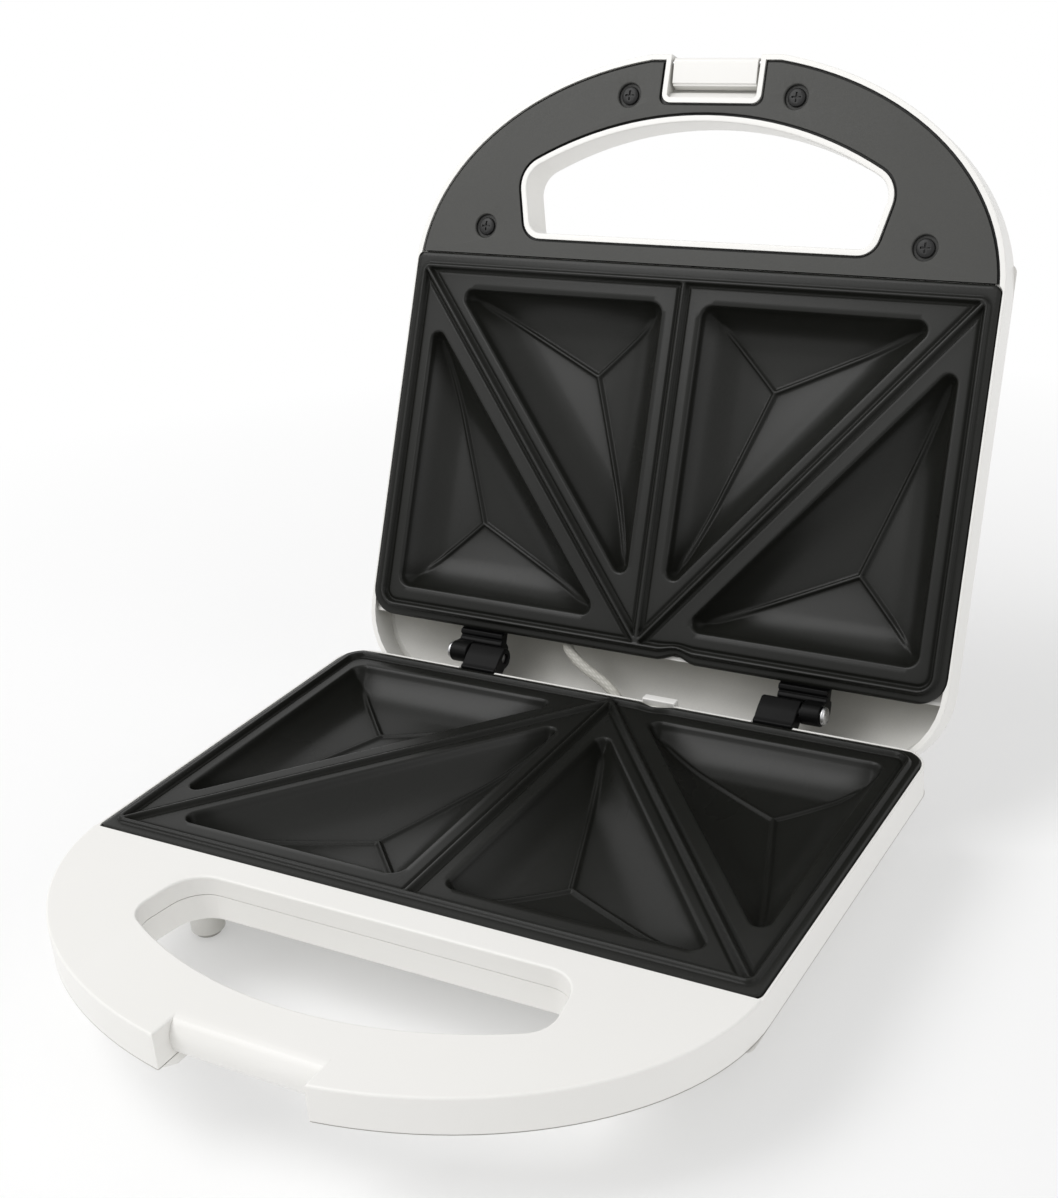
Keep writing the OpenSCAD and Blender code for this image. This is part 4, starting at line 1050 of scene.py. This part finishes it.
def base_frame(h, p):
    """The base's white top: a band round the plate, the handle's face and the catch bar."""
    gap, tray = PLATE_GAP, p.flange
    seam = h.edge + h.band
    seat = p.rim_gap + p.rim_height + 1.6
    corner = p.rear_corner + 1.2
    notch = lambda d: (CATCH_HALF + d, CATCH_WALL + d)
    outer = stepped(lambda bm, d, z: housing_outline(bm, d, h.base_rear, corner - d, z, notch(d)),
                    rounded_ends(h.base_drop, seam, 0.8, 0.25))
    cutters = [
        grip_cutter(base_opening, h.base_drop, seam + 6, 0.8, 0.1),
        prism([lambda bm, z: housing_outline(bm, h.wall, -p.nose - gap, 1, z, notch(h.wall)),
               lambda bm, z: base_opening(bm, h.grip_wall, z)], h.base_drop + 2, seam + 3),
        grip_prism(base_opening, h.grip_wall + 0.01, h.base_drop + 6.3, seam + 2.5),
        box(-WIDE, WIDE, -p.nose - gap, h.base_rear + 5, -3, h.edge),
        body_prism(p.width / 2 + gap, -p.nose - gap - 0.01, p.depth + gap, p.front_corner, p.rear_corner,
                   -2, seat),
        body_prism(p.width / 2 - tray + gap, tray - p.nose - gap, p.depth - tray + gap, 3,
                   p.rear_corner - tray, seat - 0.5, seam + 4),
        box(-4.8, 2.8, p.depth - tray - 1, h.base_rear + 3, seat + 0.4, seam + 2),
    ]
    cutters += box_pair(51.2, 66.3, 128.2, h.base_rear + 3, h.edge - 1, 8.5)
    frame_mesh = carve(outer, cutters)
    bmesh.ops.dissolve_limit(frame_mesh, angle_limit=radians(0.5), verts=frame_mesh.verts,
                             edges=frame_mesh.edges)
    rims = [e for e in sharp_edges(frame_mesh, 40)
            if all(abs(v.co.z - h.edge) < 0.01 and v.co.y > -1.2 for v in e.verts)]
    bmesh.ops.bevel(frame_mesh, geom=rims, offset=0.25, segments=3, profile=0.5, affect="EDGES", material=-1)
    tab = box(9.6, 22.4, p.depth + gap, h.base_rear + 2.6, 0.5, h.edge + 2.5, 0.5)
    return carve(frame_mesh, [catch_bar(h), tab], "UNION")


def base_shell(h):
    """The base's shell: belly, underside of the handle and legs, hollow and with wells for its screws."""
    top, back, slope = h.edge + h.band + 0.15, h.base_drop + h.handle_thickness, h.handle_thickness / 2
    seam_top = h.base_drop + 6.5
    belly = [(0, -10, 0, 3, top), (1.0, -10, 0.05, 3.2, top + 0.8), (8.6, -10, 0.4, 8, back),
             (14, -3, 1.4, 9, 21.5), (21, 8, 2.6, 10, 27), (28.5, 18.5, 3.6, 11, 31.4),
             (32.5, 24.5, 4.6, 11, 33.0), (36, 28.5, 7.5, 10, h.belly)]
    outer = loft([lambda bm, row=row: belly_ring(bm, h, row) for row in belly])
    handle = stepped(lambda bm, d, z: housing_outline(bm, d, h.handle_start, 1, z,
                                                      (CATCH_HALF + min(d, 1), CATCH_WALL + d * 0.2)),
                     sloped_back(slope, top, top + 0.1, back))
    ring = grip_prism(base_opening, h.grip_wall, seam_top, top + 1)
    solid = carve(outer, [handle, ring] + rods(LEG, FEET, top + 0.2, SEAM_HEIGHT - 1.6, 0.6), "UNION")

    lining = [(0, -10, 0, 3, top - 1)] + belly[1:-2] + [(34, 26, 5.5, 10, h.belly - 2)]
    inner = loft([lambda bm, row=row: belly_ring(bm, h, row, 2.2) for row in lining])
    hollow = stepped(lambda bm, d, z: housing_outline(bm, d + h.wall, -3, 1, z,
                                                      (CATCH_HALF + h.wall, CATCH_WALL + 3)),
                     [(0, top - 0.9), (0, top + 0.1), (slope + 0.4, back - 2)])
    keep = [grip_prism(base_opening, h.grip_wall, top - 3, back + 4)]
    keep += rods(BOSS, HANDLE_SCREWS, top - 3, back + 3)
    keep += rods(BOSS, POSTS, 22, h.belly + 3)
    keep += rods(LEG, FEET, back, 45)
    keep.append(box(-116, 116, -10.5, -8.4, top - 3, back + 3))
    cavity = carve(carve(inner, [hollow], "UNION"), keep)

    wells = [grip_cutter(base_opening, seam_top, back, 0.2, 1.0)]
    wells += screw_wells(HANDLE_SCREWS, 1.6, top - 3, back - 3, back + 2)
    wells += screw_wells(POSTS, 1.6, 20, h.belly - 4, h.belly + 2)
    wells += rods(4.4, FEET, SEAM_HEIGHT - 3.1, SEAM_HEIGHT + 2)
    gland_place = Matrix.Translation((GLAND_X, 138, h.belly - GLAND_RISE))
    wells.append(moved(rod(5.6, 0, 0, -6, 6), gland_place @ Matrix.Rotation(pi / 2, 4, "X")))
    return carve(solid, [cavity] + wells)


def foot_pad(x, y):
    """A rubber pad at the end of a leg, with a rounded rim and a hollow middle."""
    z = SEAM_HEIGHT
    profile = [(0, z - 3), (4.3, z - 3), (4.3, z - 0.9), (4.15, z - 0.4), (3.7, z - 0.05), (3.1, z), (2.4, z),
               (2.1, z - 0.35), (0, z - 0.5)]
    return turned(profile, 24, Matrix.Translation((x, y, 0)))


class TOASTER_OT_base(Operator):
    """Makes the base: top frame, shell, feet and screws"""
    bl_idname = "toaster.base"
    bl_label = "Base"

    def execute(self, context):
        h, p = sizes("toaster_housing"), sizes("toaster_plate")
        piece("base_frame_moulding", base_frame(h, p), "base", "white", "base_top_frame")
        piece("base_shell_moulding", base_shell(h), "base", "white", "base_shell", sharp=38)
        piece("base_foot_pads", joined(*[foot_pad(x, y) for x, y in FEET]), "base", "rubber", "rubber_feet")
        head = h.base_drop + h.handle_thickness - 3
        screws = [cross_screw(2.7, 2.0, 9.0, 32, Matrix.Translation((x, y, head))) for x, y in HANDLE_SCREWS]
        piece("base_handle_screws", joined(*screws), "base", "steel", "base_shell_screws")
        return {"FINISHED"}


def cross_screw(head, high, shank, segments, place):
    """A pan-head screw with a cross recess; the head points to larger z from z 0."""
    profile = [(0, -shank), (0.7, -shank), (1.25, -shank + 1), (1.25, 0), (head - 0.15, 0), (head, 0.15),
               (head, high * 0.45), (head * 0.9, high * 0.78), (head * 0.66, high * 0.95), (0, high)]
    body = turned(profile, segments)
    arm, half, floor, top = head * 0.55, 0.42, high * 0.42, high + 1
    cross = carve(box(-arm, arm, -half, half, floor, top), [box(-half, half, -arm, arm, floor, top)], "UNION")
    return moved(carve(body, [cross]), place)


def recess_prism(grow, z0, z1):
    """The latch recess, open at the handle's front and rounded at its rear corners."""
    h = sizes("toaster_housing")
    r = RECESS_CORNER + grow

    def draw(bm, z):
        half, end = RECESS_HALF + grow, RECESS_END + grow
        front = -h.handle_reach - (0 if grow else 3)
        pen = Pen(bm, 0, end, z).line(half - r, end).arc(half - r, end - r, -90, 6)
        return pen.line(half, front).line(0, front).close()
    return prism([draw], z0, z1)


def lid_cavity(h, p, levels):
    """The space inside the lid: under the crown and in the handle, but not in its bosses and ledges."""
    face, band, slope = h.lid_lift, h.edge + h.band, h.handle_thickness / 2
    back, liner_back = face + h.handle_thickness, face + 2.15
    lining = [(0, -10, 0, 3, 30, band)] + levels[2:-1]
    inner = loft([lambda bm, row=row: crown_ring(bm, h, row, 2.0, 1.2) for row in lining])
    rim = prism([lambda bm, z: housing_outline(bm, h.wall, h.lid_rear - h.wall, h.lid_corner - h.wall, z)],
                face - 2, band + 0.3)
    hollow = stepped(lambda bm, d, z: housing_outline(bm, d + h.wall, -3, 1, z),
                     [(0, band - 0.6), (0, band + 0.2), (slope + 0.4, back - 2)])
    keep = [grip_prism(lid_opening, h.grip_wall, face - 3, back + 3),
            box(-WIDE, WIDE, -10, -8.4, liner_back, back + 1),
            box(-WIDE, WIDE, 137.2, 138.5, 3.7, 30),
            box(-WIDE, WIDE, -3, -1.3, liner_back, 26)]
    keep += box_pair(p.width / 2 - p.flange + PLATE_GAP, WIDE, -2, p.depth - 12, 3.2, band)
    keep += box_pair(105.8, WIDE, 129.6, 138.5, 3.9, 5.4)
    keep += rods(BOSS, HANDLE_SCREWS, liner_back, back + 1)
    keep += rods(BOSS, POSTS, 25.3, 45)
    keep.append(recess_prism(RECESS_EDGE, face - 4, back + 1))
    return carve(carve(rim, [inner, hollow], "UNION"), keep)


def lid_shell(h, p):
    """The lid's white shell with its handle, opening, latch recess and slots for the hinges and the lead."""
    face, band, slope = h.lid_lift, h.edge + h.band, h.handle_thickness / 2
    back, liner_back = face + h.handle_thickness, face + 2.15
    outer = stepped(lambda bm, d, z: housing_outline(bm, d, h.lid_rear, h.lid_corner - d, z),
                    rounded_ends(face, band + 0.6, 0.55, 0.1))
    levels = [(0, -10, 0, 3, 30, band), (0.5, -10, 0.3, 3.2, 30, band + 0.9), (3.6, -8.2, 4.8, 5, 29, 17),
              (12, 2, 22, 9, 25, 28), (17, 6.5, 29, 11, 23.5, 32.6), (23, 12.5, 36.5, 12.5, 22, 37.2),
              (28.5, 18, 43, 14, 20.5, 40.5), (31.5, 21, 46.5, 14, 20, 41.6),
              (35, 24.5, 50, 13, 18, h.lid_height)]
    crown = loft([lambda bm, row=row: crown_ring(bm, h, row) for row in levels])
    handle = stepped(lambda bm, d, z: housing_outline(bm, d, h.handle_start, 1, z),
                     sloped_back(slope, band - 0.4, band + 0.5, back))
    solid = carve(outer, [crown, handle], "UNION")
    lip = [(0.1, face - 2), (0.1, face), (-0.3, face + 0.12), (-0.55, face + 0.5), (-0.6, face + 1.2),
           (-0.5, face + 1.35), (0.35, face + 1.4), (0.35, face + 1.9), (0, face + 2.1), (0, back - 1.0),
           (0.3, back - 0.3), (1.0, back), (1.0, back + 2)]
    cutters = [lid_cavity(h, p, levels), stepped(lid_opening, lip), recess_prism(0, face - 4, RECESS_FLOOR),
               body_prism(p.width / 2 + PLATE_GAP, -p.nose - PLATE_GAP, p.depth + PLATE_GAP, 3, p.rear_corner,
                          face - 3, 3.1)]
    cutters += box_pair(55.2, 73.9, 137, 147.8, face - 1, 9.7)
    cutters.append(box(-33.3, -25.7, 137, 147, face - 1, 13.2))
    cutters += rods(1.3, HANDLE_SCREWS, liner_back - 1, back - 2)
    cutters += rods(4.1, [(-LENS_X, LENS_Y), (LENS_X, LENS_Y)], h.lid_height - 8, h.lid_height + 3)
    cutters.append(moved(rod(1.02, 0, 0, -20, 20), lying(LATCH_Y, LATCH_Z)))
    shell = carve(solid, cutters)
    ramp = across([(RECESS_END + 0.05, face + 1.0), (RECESS_END + 0.05, RECESS_FLOOR + 0.1),
                   (-70.5, RECESS_FLOOR + 0.1), (-64.8, RECESS_FLOOR - 0.4), (-63.6, face + 2.6)],
                  -RECESS_HALF + 0.02, RECESS_HALF - 0.02)
    return joined(shell, ramp)


def liner_sheet(h, p):
    """The grey sheet on the lid's handle, with its opening, notch and wells for the screws."""
    face, gap = h.lid_lift, 0.12
    notch = lambda d: (RECESS_HALF + RECESS_EDGE + gap + d, RECESS_END + RECESS_EDGE + gap + d)
    steps = [(1.12, face), (0.96, face + 0.06), (0.88, face + 0.25), (0.88, face + 1.15), (0, face + 1.2),
             (0, face + 2)]
    inset, rear, corner = h.wall + gap, -p.nose - 0.45, 3.3
    sheet = stepped(lambda bm, d, z: housing_outline(bm, inset + d, rear, 1, z, notch(d), corner), steps)
    hole = stepped(lambda bm, d, z: lid_opening(bm, h.grip_wall + gap + d, z),
                   [(1.12, face - 2)] + steps[:-1] + [(0, face + 4)])
    well = [(0, face - 2), (5.0, face - 2), (5.0, face - 0.02), (4.6, face + 0.25), (4.45, face + 0.7),
            (4.4, face + 1.35), (0, face + 1.35)]
    wells = [turned(well, 40, Matrix.Translation((x, y, 0))) for x, y in HANDLE_SCREWS]
    return carve(sheet, [hole] + wells)


def lens_cap(h, x):
    """A flanged lens with a shallow dome."""
    top = h.lid_height
    profile = [(0, top - 4), (4, top - 4), (5.2, top - 3.6), (5.2, top - 2.2), (4, top - 2.2), (4, top + 0.1),
               (3.7, top + 0.4), (2.6, top + 0.56), (0, top + 0.6)]
    return turned(profile, 40, Matrix.Translation((x, LENS_Y, 0)))


class TOASTER_OT_lid(Operator):
    """Makes the lid: shell, handle liner, its screws and the indicator lenses"""
    bl_idname = "toaster.lid"
    bl_label = "Lid"

    def execute(self, context):
        h, p = sizes("toaster_housing"), sizes("toaster_plate")
        piece("lid_shell_moulding", lid_shell(h, p), "lid", "white", "lid_shell", sharp=38)
        piece("lid_liner_sheet", liner_sheet(h, p), "lid", "liner", "lid_handle_liner")
        down = Matrix.Diagonal((1, 1, -1, 1))
        screws = [cross_screw(3.3, 1.1, 7.5, 40, Matrix.Translation((x, y, h.lid_lift + 1.36)) @ down)
                  for x, y in HANDLE_SCREWS]
        piece("lid_black_screws", joined(*screws), "lid", "black_steel", "lid_liner_screws")
        piece("power_lens_cap", lens_cap(h, -LENS_X), "lid", "red_lens", "power_lens")
        piece("ready_lens_cap", lens_cap(h, LENS_X), "lid", "green_lens", "ready_lens")
        return {"FINISHED"}


# ---------------------------------------------------------------- hinges and latch

BARREL = 3.9                    # radius of a hinge's barrel
BLOCK_X = (51.5, 66.0)          # sides of the right hinge block
LEAF_X = (55.5, 73.6)           # sides of the right hinge leaf
EAR_X = 66.6                    # inner side of the leaf's ear


def hinge_block():
    """The base's block: a foot under the plate and a barrel for the pin."""
    r, (x0, x1) = BARREL, BLOCK_X
    block = across([(HINGE_Y, -r), (HINGE_Y, 0, 180), (HINGE_Y - 1.0, r), (HINGE_Y - 4.5, 6.65),
                    (128.6, 6.65), (128.6, 3.7), (139.4, 3.7), (139.8, 1.2), (141.6, 0.6),
                    (HINGE_Y - 4.0, -1.6)], x0, x1)
    ease(block, 0.45, 3, 50)
    return carve(block, [moved(rod(2.02, 0, 0, x0 - 2, x1 + 2), lying(HINGE_Y))])


def hinge_leaf():
    """The lid's leaf: a tongue, a flat, a rounded roll and the ear that holds the pin."""
    r, (x0, x1) = BARREL, LEAF_X
    leaf = across([(128.6, 6.65), (128.6, 3.7), (139.5, 3.7), (140.0, 2.4), (141.6, 2.4), (142.1, 3.4),
                   (142.46, 3.22), (143.9, 4.3, 115), (145.9, 4.7), (148.4, 5.0), (148.4, 8.4),
                   (144.4, 8.4), (143.0, 6.65)], x0, x1)
    ease(leaf, 0.35, 2, 50)
    ear = across([(HINGE_Y, -r), (HINGE_Y, 0, 90), (HINGE_Y + r, 1.6), (HINGE_Y - 0.2, 8.2),
                  (HINGE_Y - 4.8, 8.2), (HINGE_Y - 4.8, 3.2), (HINGE_Y - r, 0), (HINGE_Y, 0, 90)], EAR_X, x1)
    ease(ear, 0.4, 2, 50)
    hole = moved(rod(2.06, 0, 0, EAR_X - 2, x1 + 2), lying(HINGE_Y))
    return carve(carve(leaf, [ear], "UNION"), [hole])


def hinge_pin():
    start, end = BLOCK_X[0] + 1, LEAF_X[1] + 0.4
    profile = [(0, start), (1.7, start), (2, start + 0.4), (2, end), (3.1, end), (3.2, end + 0.3),
               (3.0, end + 1.0), (2.2, end + 1.4), (0, end + 1.4)]
    return turned(profile, 36, lying(HINGE_Y))


class TOASTER_OT_hinges(Operator):
    """Makes the two hinges: blocks, leaves, pins and their screws"""
    bl_idname = "toaster.hinges"
    bl_label = "Hinges"

    def execute(self, context):
        for s, side in ((-1, "left"), (1, "right")):
            flip = Matrix.Diagonal((s, 1, 1, 1))
            piece("hinge_block_moulding_" + side, moved(hinge_block(), flip), "base", "black",
                  "hinge_block_" + side, sharp=45)
            piece("hinge_leaf_moulding_" + side, moved(hinge_leaf(), flip), "lid", "black",
                  "hinge_leaf_" + side, sharp=45)
            piece("hinge_pin_turned_" + side, moved(hinge_pin(), flip), "base", "steel", "hinge_pin_" + side)
        for part, body, ends in (("block", "base", BLOCK_X), ("leaf", "lid", LEAF_X)):
            middle, spread = sum(ends) / 2, 3.6
            screws = [cross_screw(2.45, 1.5, 3.0, 28, Matrix.Translation((s * x, 134.1, 6.66)))
                      for s in SIDES for x in (middle - spread, middle + spread)]
            piece("hinge_%s_fixings" % part, joined(*screws), body, "steel", "hinge_%s_screws" % part)
        return {"FINISHED"}


class TOASTER_OT_latch(Operator):
    """Makes the folding latch clip and its pin"""
    bl_idname = "toaster.latch"
    bl_label = "Latch"

    def execute(self, context):
        y, z, half = LATCH_Y, LATCH_Z, 16.4
        clip = across([(y, z - 1.9), (y + 7.4, z - 1.05), (y + 7.55, z - 0.35), (y + 8.2, z - 0.3),
                       (y + 8.3, z + 0.75), (y + 9.0, z + 2.4), (y + 8.6, z + 3.0), (y + 7.8, z + 3.0),
                       (y + 7.0, z + 1.1), (y + 1.0, z + 1.0), (y, z + 1.9), (y, z, 180)], -half, half)
        ease(clip, 0.2, 2, 45)
        clip = carve(clip, [moved(rod(1.07, 0, 0, -20, 20), lying(y, z))])
        piece("latch_clip_moulding", clip, "latch", "white", "latch_clip")
        end = 19.2
        pin = turned([(0, -end), (0.9, -end), (1, -end + 0.2), (1, end - 0.2), (0.9, end), (0, end)], 24,
                     lying(y, z))
        piece("latch_pin_turned", pin, "lid", "steel", "latch_pin")
        return {"FINISHED"}


# ---------------------------------------------------------------- electrics

LEAD_RADIUS = 1.9
LEAD_RUN = [(-4, 122, -13.5), (-3, 128.5, -10), (-2, 134.5, -7.4), (-1, 140.4, -6.8), (-3.5, 144.8, -5.3),
            (-10, 148.7, -3), (-19, 152.2, -0.6), (-25.5, 155.2, 1.8), (-29.5, 157.4, 4.8),
            (-30, 160.8, 8.6), (-30.5, 164.8, 12.4)]


def cord_gland(h):
    """The cord entry: a flanged collar and a ribbed sleeve that thins towards its end."""
    profile = [(3.6, -7.6), (6.6, -7.6), (7, -7.2), (7, -5.9), (6.7, -5.6), (5.5, -5.6), (5.5, 0), (6.7, 0),
               (7, 0.3), (7, 1.6), (6.7, 1.95), (5.5, 2.0)]
    for rib in range(4):
        z, r = 2.6 + rib * 1.8, 5.4 - rib * 0.2
        profile += [(r, z), (r - 0.1, z + 0.25), (r - 0.75, z + 0.4), (r - 0.75, z + 1.1), (r - 0.2, z + 1.3)]
    profile += [(4.7, 9.8), (4.4, 10), (3.8, 10), (3.6, 9.8), (3.6, -7.6)]
    height, handle_back = h.belly - GLAND_RISE, h.base_drop + h.handle_thickness
    wall = h.base_rear - 0.4 - 3.6 * (height - handle_back) / (h.belly - handle_back)
    place = Matrix.Translation((GLAND_X, wall + 1.8, height))
    return turned(profile, 48, place @ Matrix.Rotation(-pi / 2, 4, "X"))


def lead_path():
    """Points of a smooth curve through the lead's run, in the frame."""
    shift = LID_HINGE["pos_m"][1] / MM - HINGE_Y
    points = [Vector((x, y + shift, z + SEAM_HEIGHT)) * MM for x, y, z in LEAD_RUN]
    path, last, steps = [], len(points) - 1, 6
    for i in range(last):
        a, b, c, d = (points[max(0, min(last, j))] for j in (i - 1, i, i + 1, i + 2))
        for step in range(steps):
            t = step / steps
            path.append(0.5 * (2 * b + (c - a) * t + (2 * a - 5 * b + 4 * c - d) * t ** 2
                               + (3 * b - a - 3 * c + d) * t ** 3))
    return path + [points[-1]]


def tube(path, radius):
    """A closed round tube along a path."""
    bm = bmesh.new()
    loops = []
    for i, here in enumerate(path):
        ahead = (path[min(i + 1, len(path) - 1)] - path[max(i - 1, 0)]).normalized()
        turn = ahead.to_track_quat("Z", "X").to_matrix().to_4x4()
        made = bmesh.ops.create_circle(bm, segments=20, radius=radius, matrix=Matrix.Translation(here) @ turn)
        loops.append(edges_of(made["verts"]))
    for a, b in zip(loops, loops[1:]):
        bmesh.ops.bridge_loops(bm, edges=a + b)
    for loop in (loops[0], loops[-1]):
        bmesh.ops.contextual_create(bm, geom=loop)
    bmesh.ops.recalc_face_normals(bm, faces=bm.faces)
    return bm


class TOASTER_OT_electrics(Operator):
    """Makes the cord gland and the sleeved lead, and dresses the inner parts"""
    bl_idname = "toaster.electrics"
    bl_label = "Electrics"

    def execute(self, context):
        dress("element", "base_heating_element", "lid_heating_element")
        dress("sheet", "base_reflector", "lid_reflector")
        dress("ceramic", "thermostat", "thermal_fuse", "terminal_block", "cord_clamp", "power_lamp",
              "ready_lamp")
        dress("steel", "base_plate_screws", "cord_clamp_screws", "lid_plate_screws")
        piece("cord_gland_moulding", cord_gland(sizes("toaster_housing")), "base", "black", "cord_gland")
        path = lead_path()
        sleeve = piece("lead_sleeve_woven", tube(path, LEAD_RADIUS * MM), None, "sleeve", "lead_sleeve")
        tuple(path[0])
        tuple(path[-1])
        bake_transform(sleeve)
        return {"FINISHED"}


# ---------------------------------------------------------------- stage

WHITE = (1, 1, 1, 1)
AMBIENT = 0.6                               # strength of the world as a light
CAMERA_PLACE = (0.26706, -0.42901, 0.31811)
CAMERA_TURN, CAMERA_PITCH, CAMERA_ROLL = 0.50882, 0.39780, -0.064742
CAMERA_SHIFT = (-0.0649, -0.0246)
CAMERA_SENSOR = 36                          # height of the sensor, in millimetres


def add_camera(scene, focal_length):
    camera = bpy.data.cameras.new("Camera")
    camera.sensor_fit, camera.sensor_height = "VERTICAL", CAMERA_SENSOR
    camera.lens = focal_length
    camera.shift_x, camera.shift_y = CAMERA_SHIFT
    turn, pitch, roll = CAMERA_TURN, CAMERA_PITCH, CAMERA_ROLL
    ahead = Vector((-sin(turn) * cos(pitch), cos(turn) * cos(pitch), -sin(pitch)))
    level = Vector((cos(turn), sin(turn), 0))
    upright = level.cross(ahead)
    side = cos(roll) * level + sin(roll) * upright
    top = -sin(roll) * level + cos(roll) * upright
    holder = bpy.data.objects.new("Camera", camera)
    holder.matrix_world = Matrix((side, top, -ahead)).transposed().to_4x4()
    holder.matrix_world.translation = CAMERA_PLACE
    scene.collection.objects.link(holder)
    scene.camera = holder


def floor_paper():
    """White paper that keeps the shadow near the object and is plain white further away."""
    s = Shader("floor_paper", Specular_IOR_Level=0.0)
    haze = s.noise(3.0, 3, 0.5).clamp(0.3, 0.7)
    tone = s.mix(haze, (0.93, 0.93, 0.93), (0.94, 0.94, 0.94))
    s.feed(Base_Color=tone, Roughness=haze.clamp(0, 1, 0.9, 1.0))
    far = s.node("ShaderNodeVectorMath", {"operation": "LENGTH"}, {0: s.coords}, "Value")
    far = far.clamp(0.26, 0.6, 0.3, 1.0)
    glow = s.node("ShaderNodeEmission", {}, {"Color": WHITE, "Strength": 1.0}, "Emission")
    skin = Socket(s, s.bsdf.outputs[0])
    mixed = s.node("ShaderNodeMixShader", {}, {0: far, 1: skin, 2: glow}, "Shader")
    s.tree.links.new(mixed.value, s.tree.nodes["Material Output"].inputs["Surface"])
    return s.material


def add_floor(width):
    floor = bmesh.new()
    bmesh.ops.create_grid(floor, x_segments=2, y_segments=2, size=width / 2)
    obj = mesh_object(floor, "floor")
    obj.data.materials.append(floor_paper())


def add_lamp(scene, name, place, target, size, power):
    """A rectangular area lamp that points at its target."""
    data = bpy.data.lights.new(name, "AREA")
    data.shape, data.size, data.size_y, data.energy = "RECTANGLE", size[0], size[1], power
    lamp = bpy.data.objects.new(name, data)
    aim = (Vector(target) - Vector(place)).to_track_quat("-Z", "Y").to_matrix().to_4x4()
    lamp.matrix_world = Matrix.Translation(place) @ aim
    scene.collection.objects.link(lamp)


def add_surroundings(scene):
    """A dimmer white as light, and plain white to the camera, in reflections and through lenses."""
    world = bpy.data.worlds.new("surroundings")
    scene.world = world
    world.use_nodes = True
    world.node_tree.nodes.clear()
    w = Nodes(world.node_tree)
    seen = w.node("ShaderNodeLightPath", {}, {}, "Is Camera Ray")
    for ray in ("Is Glossy Ray", "Is Transmission Ray"):
        seen = seen.larger(w.node("ShaderNodeLightPath", {}, {}, ray))
    ambient = w.node("ShaderNodeBackground", {}, {"Color": WHITE, "Strength": AMBIENT})
    plain = w.node("ShaderNodeBackground", {}, {"Color": WHITE, "Strength": 1.0})
    mixed = w.node("ShaderNodeMixShader", {}, {0: seen, 1: ambient, 2: plain})
    w.node("ShaderNodeOutputWorld", {}, {"Surface": mixed}, None)


class TOASTER_OT_stage(Operator):
    """Sets the camera, the lights, the floor and the white surroundings"""
    bl_idname = "toaster.stage"
    bl_label = "Stage"

    def execute(self, context):
        scene = context.scene
        stage = scene.toaster_stage
        scene.view_settings.view_transform = "Standard"
        add_camera(scene, stage.focal_length)
        add_floor(stage.floor_size)
        add_lamp(scene, "key", (-0.7, -0.5, 1.3), (0, 0, 0.1), (1.0, 1.0), stage.key)
        add_lamp(scene, "side", (1.3, -0.2, 0.7), (0, 0.05, 0.12), (0.9, 0.7), stage.key * 0.2)
        add_lamp(scene, "front", (-0.7, -1.2, 1.02), (0, 0.1, 0.14), (0.6, 0.42), stage.key * 0.2)
        add_surroundings(scene)
        return {"FINISHED"}


# ---------------------------------------------------------------- add-on

GROUPS = {"toaster_plate": PlateSizes, "toaster_housing": HousingSizes, "toaster_finish": FinishColours,
          "toaster_stage": StageSizes}
OPERATORS = [TOASTER_OT_plates, TOASTER_OT_base, TOASTER_OT_lid, TOASTER_OT_hinges, TOASTER_OT_latch,
             TOASTER_OT_electrics, TOASTER_OT_stage]


class TOASTER_PT_panel(Panel):
    """Lists the toaster's pieces and sizes"""
    bl_label = "Sandwich toaster"
    bl_idname = "TOASTER_PT_panel"
    bl_space_type = "VIEW_3D"
    bl_region_type = "UI"
    bl_category = "Toaster"

    def draw(self, context):
        for operator in OPERATORS:
            self.layout.operator(operator.bl_idname)
        for name in GROUPS:
            group = getattr(context.scene, name)
            for setting in settings_of(group):
                self.layout.prop(group, setting)


def register():
    for cls in [*GROUPS.values(), *OPERATORS, TOASTER_PT_panel]:
        bpy.utils.register_class(cls)
    for name, group in GROUPS.items():
        setattr(bpy.types.Scene, name, PointerProperty(type=group))


def unregister():
    for name in GROUPS:
        delattr(bpy.types.Scene, name)
    for cls in reversed([*GROUPS.values(), *OPERATORS, TOASTER_PT_panel]):
        bpy.utils.unregister_class(cls)


def main():
    register()
    for operator in OPERATORS:
        group, name = operator.bl_idname.split(".")
        getattr(getattr(bpy.ops, group), name)()


if __name__ == "__main__":
    main()
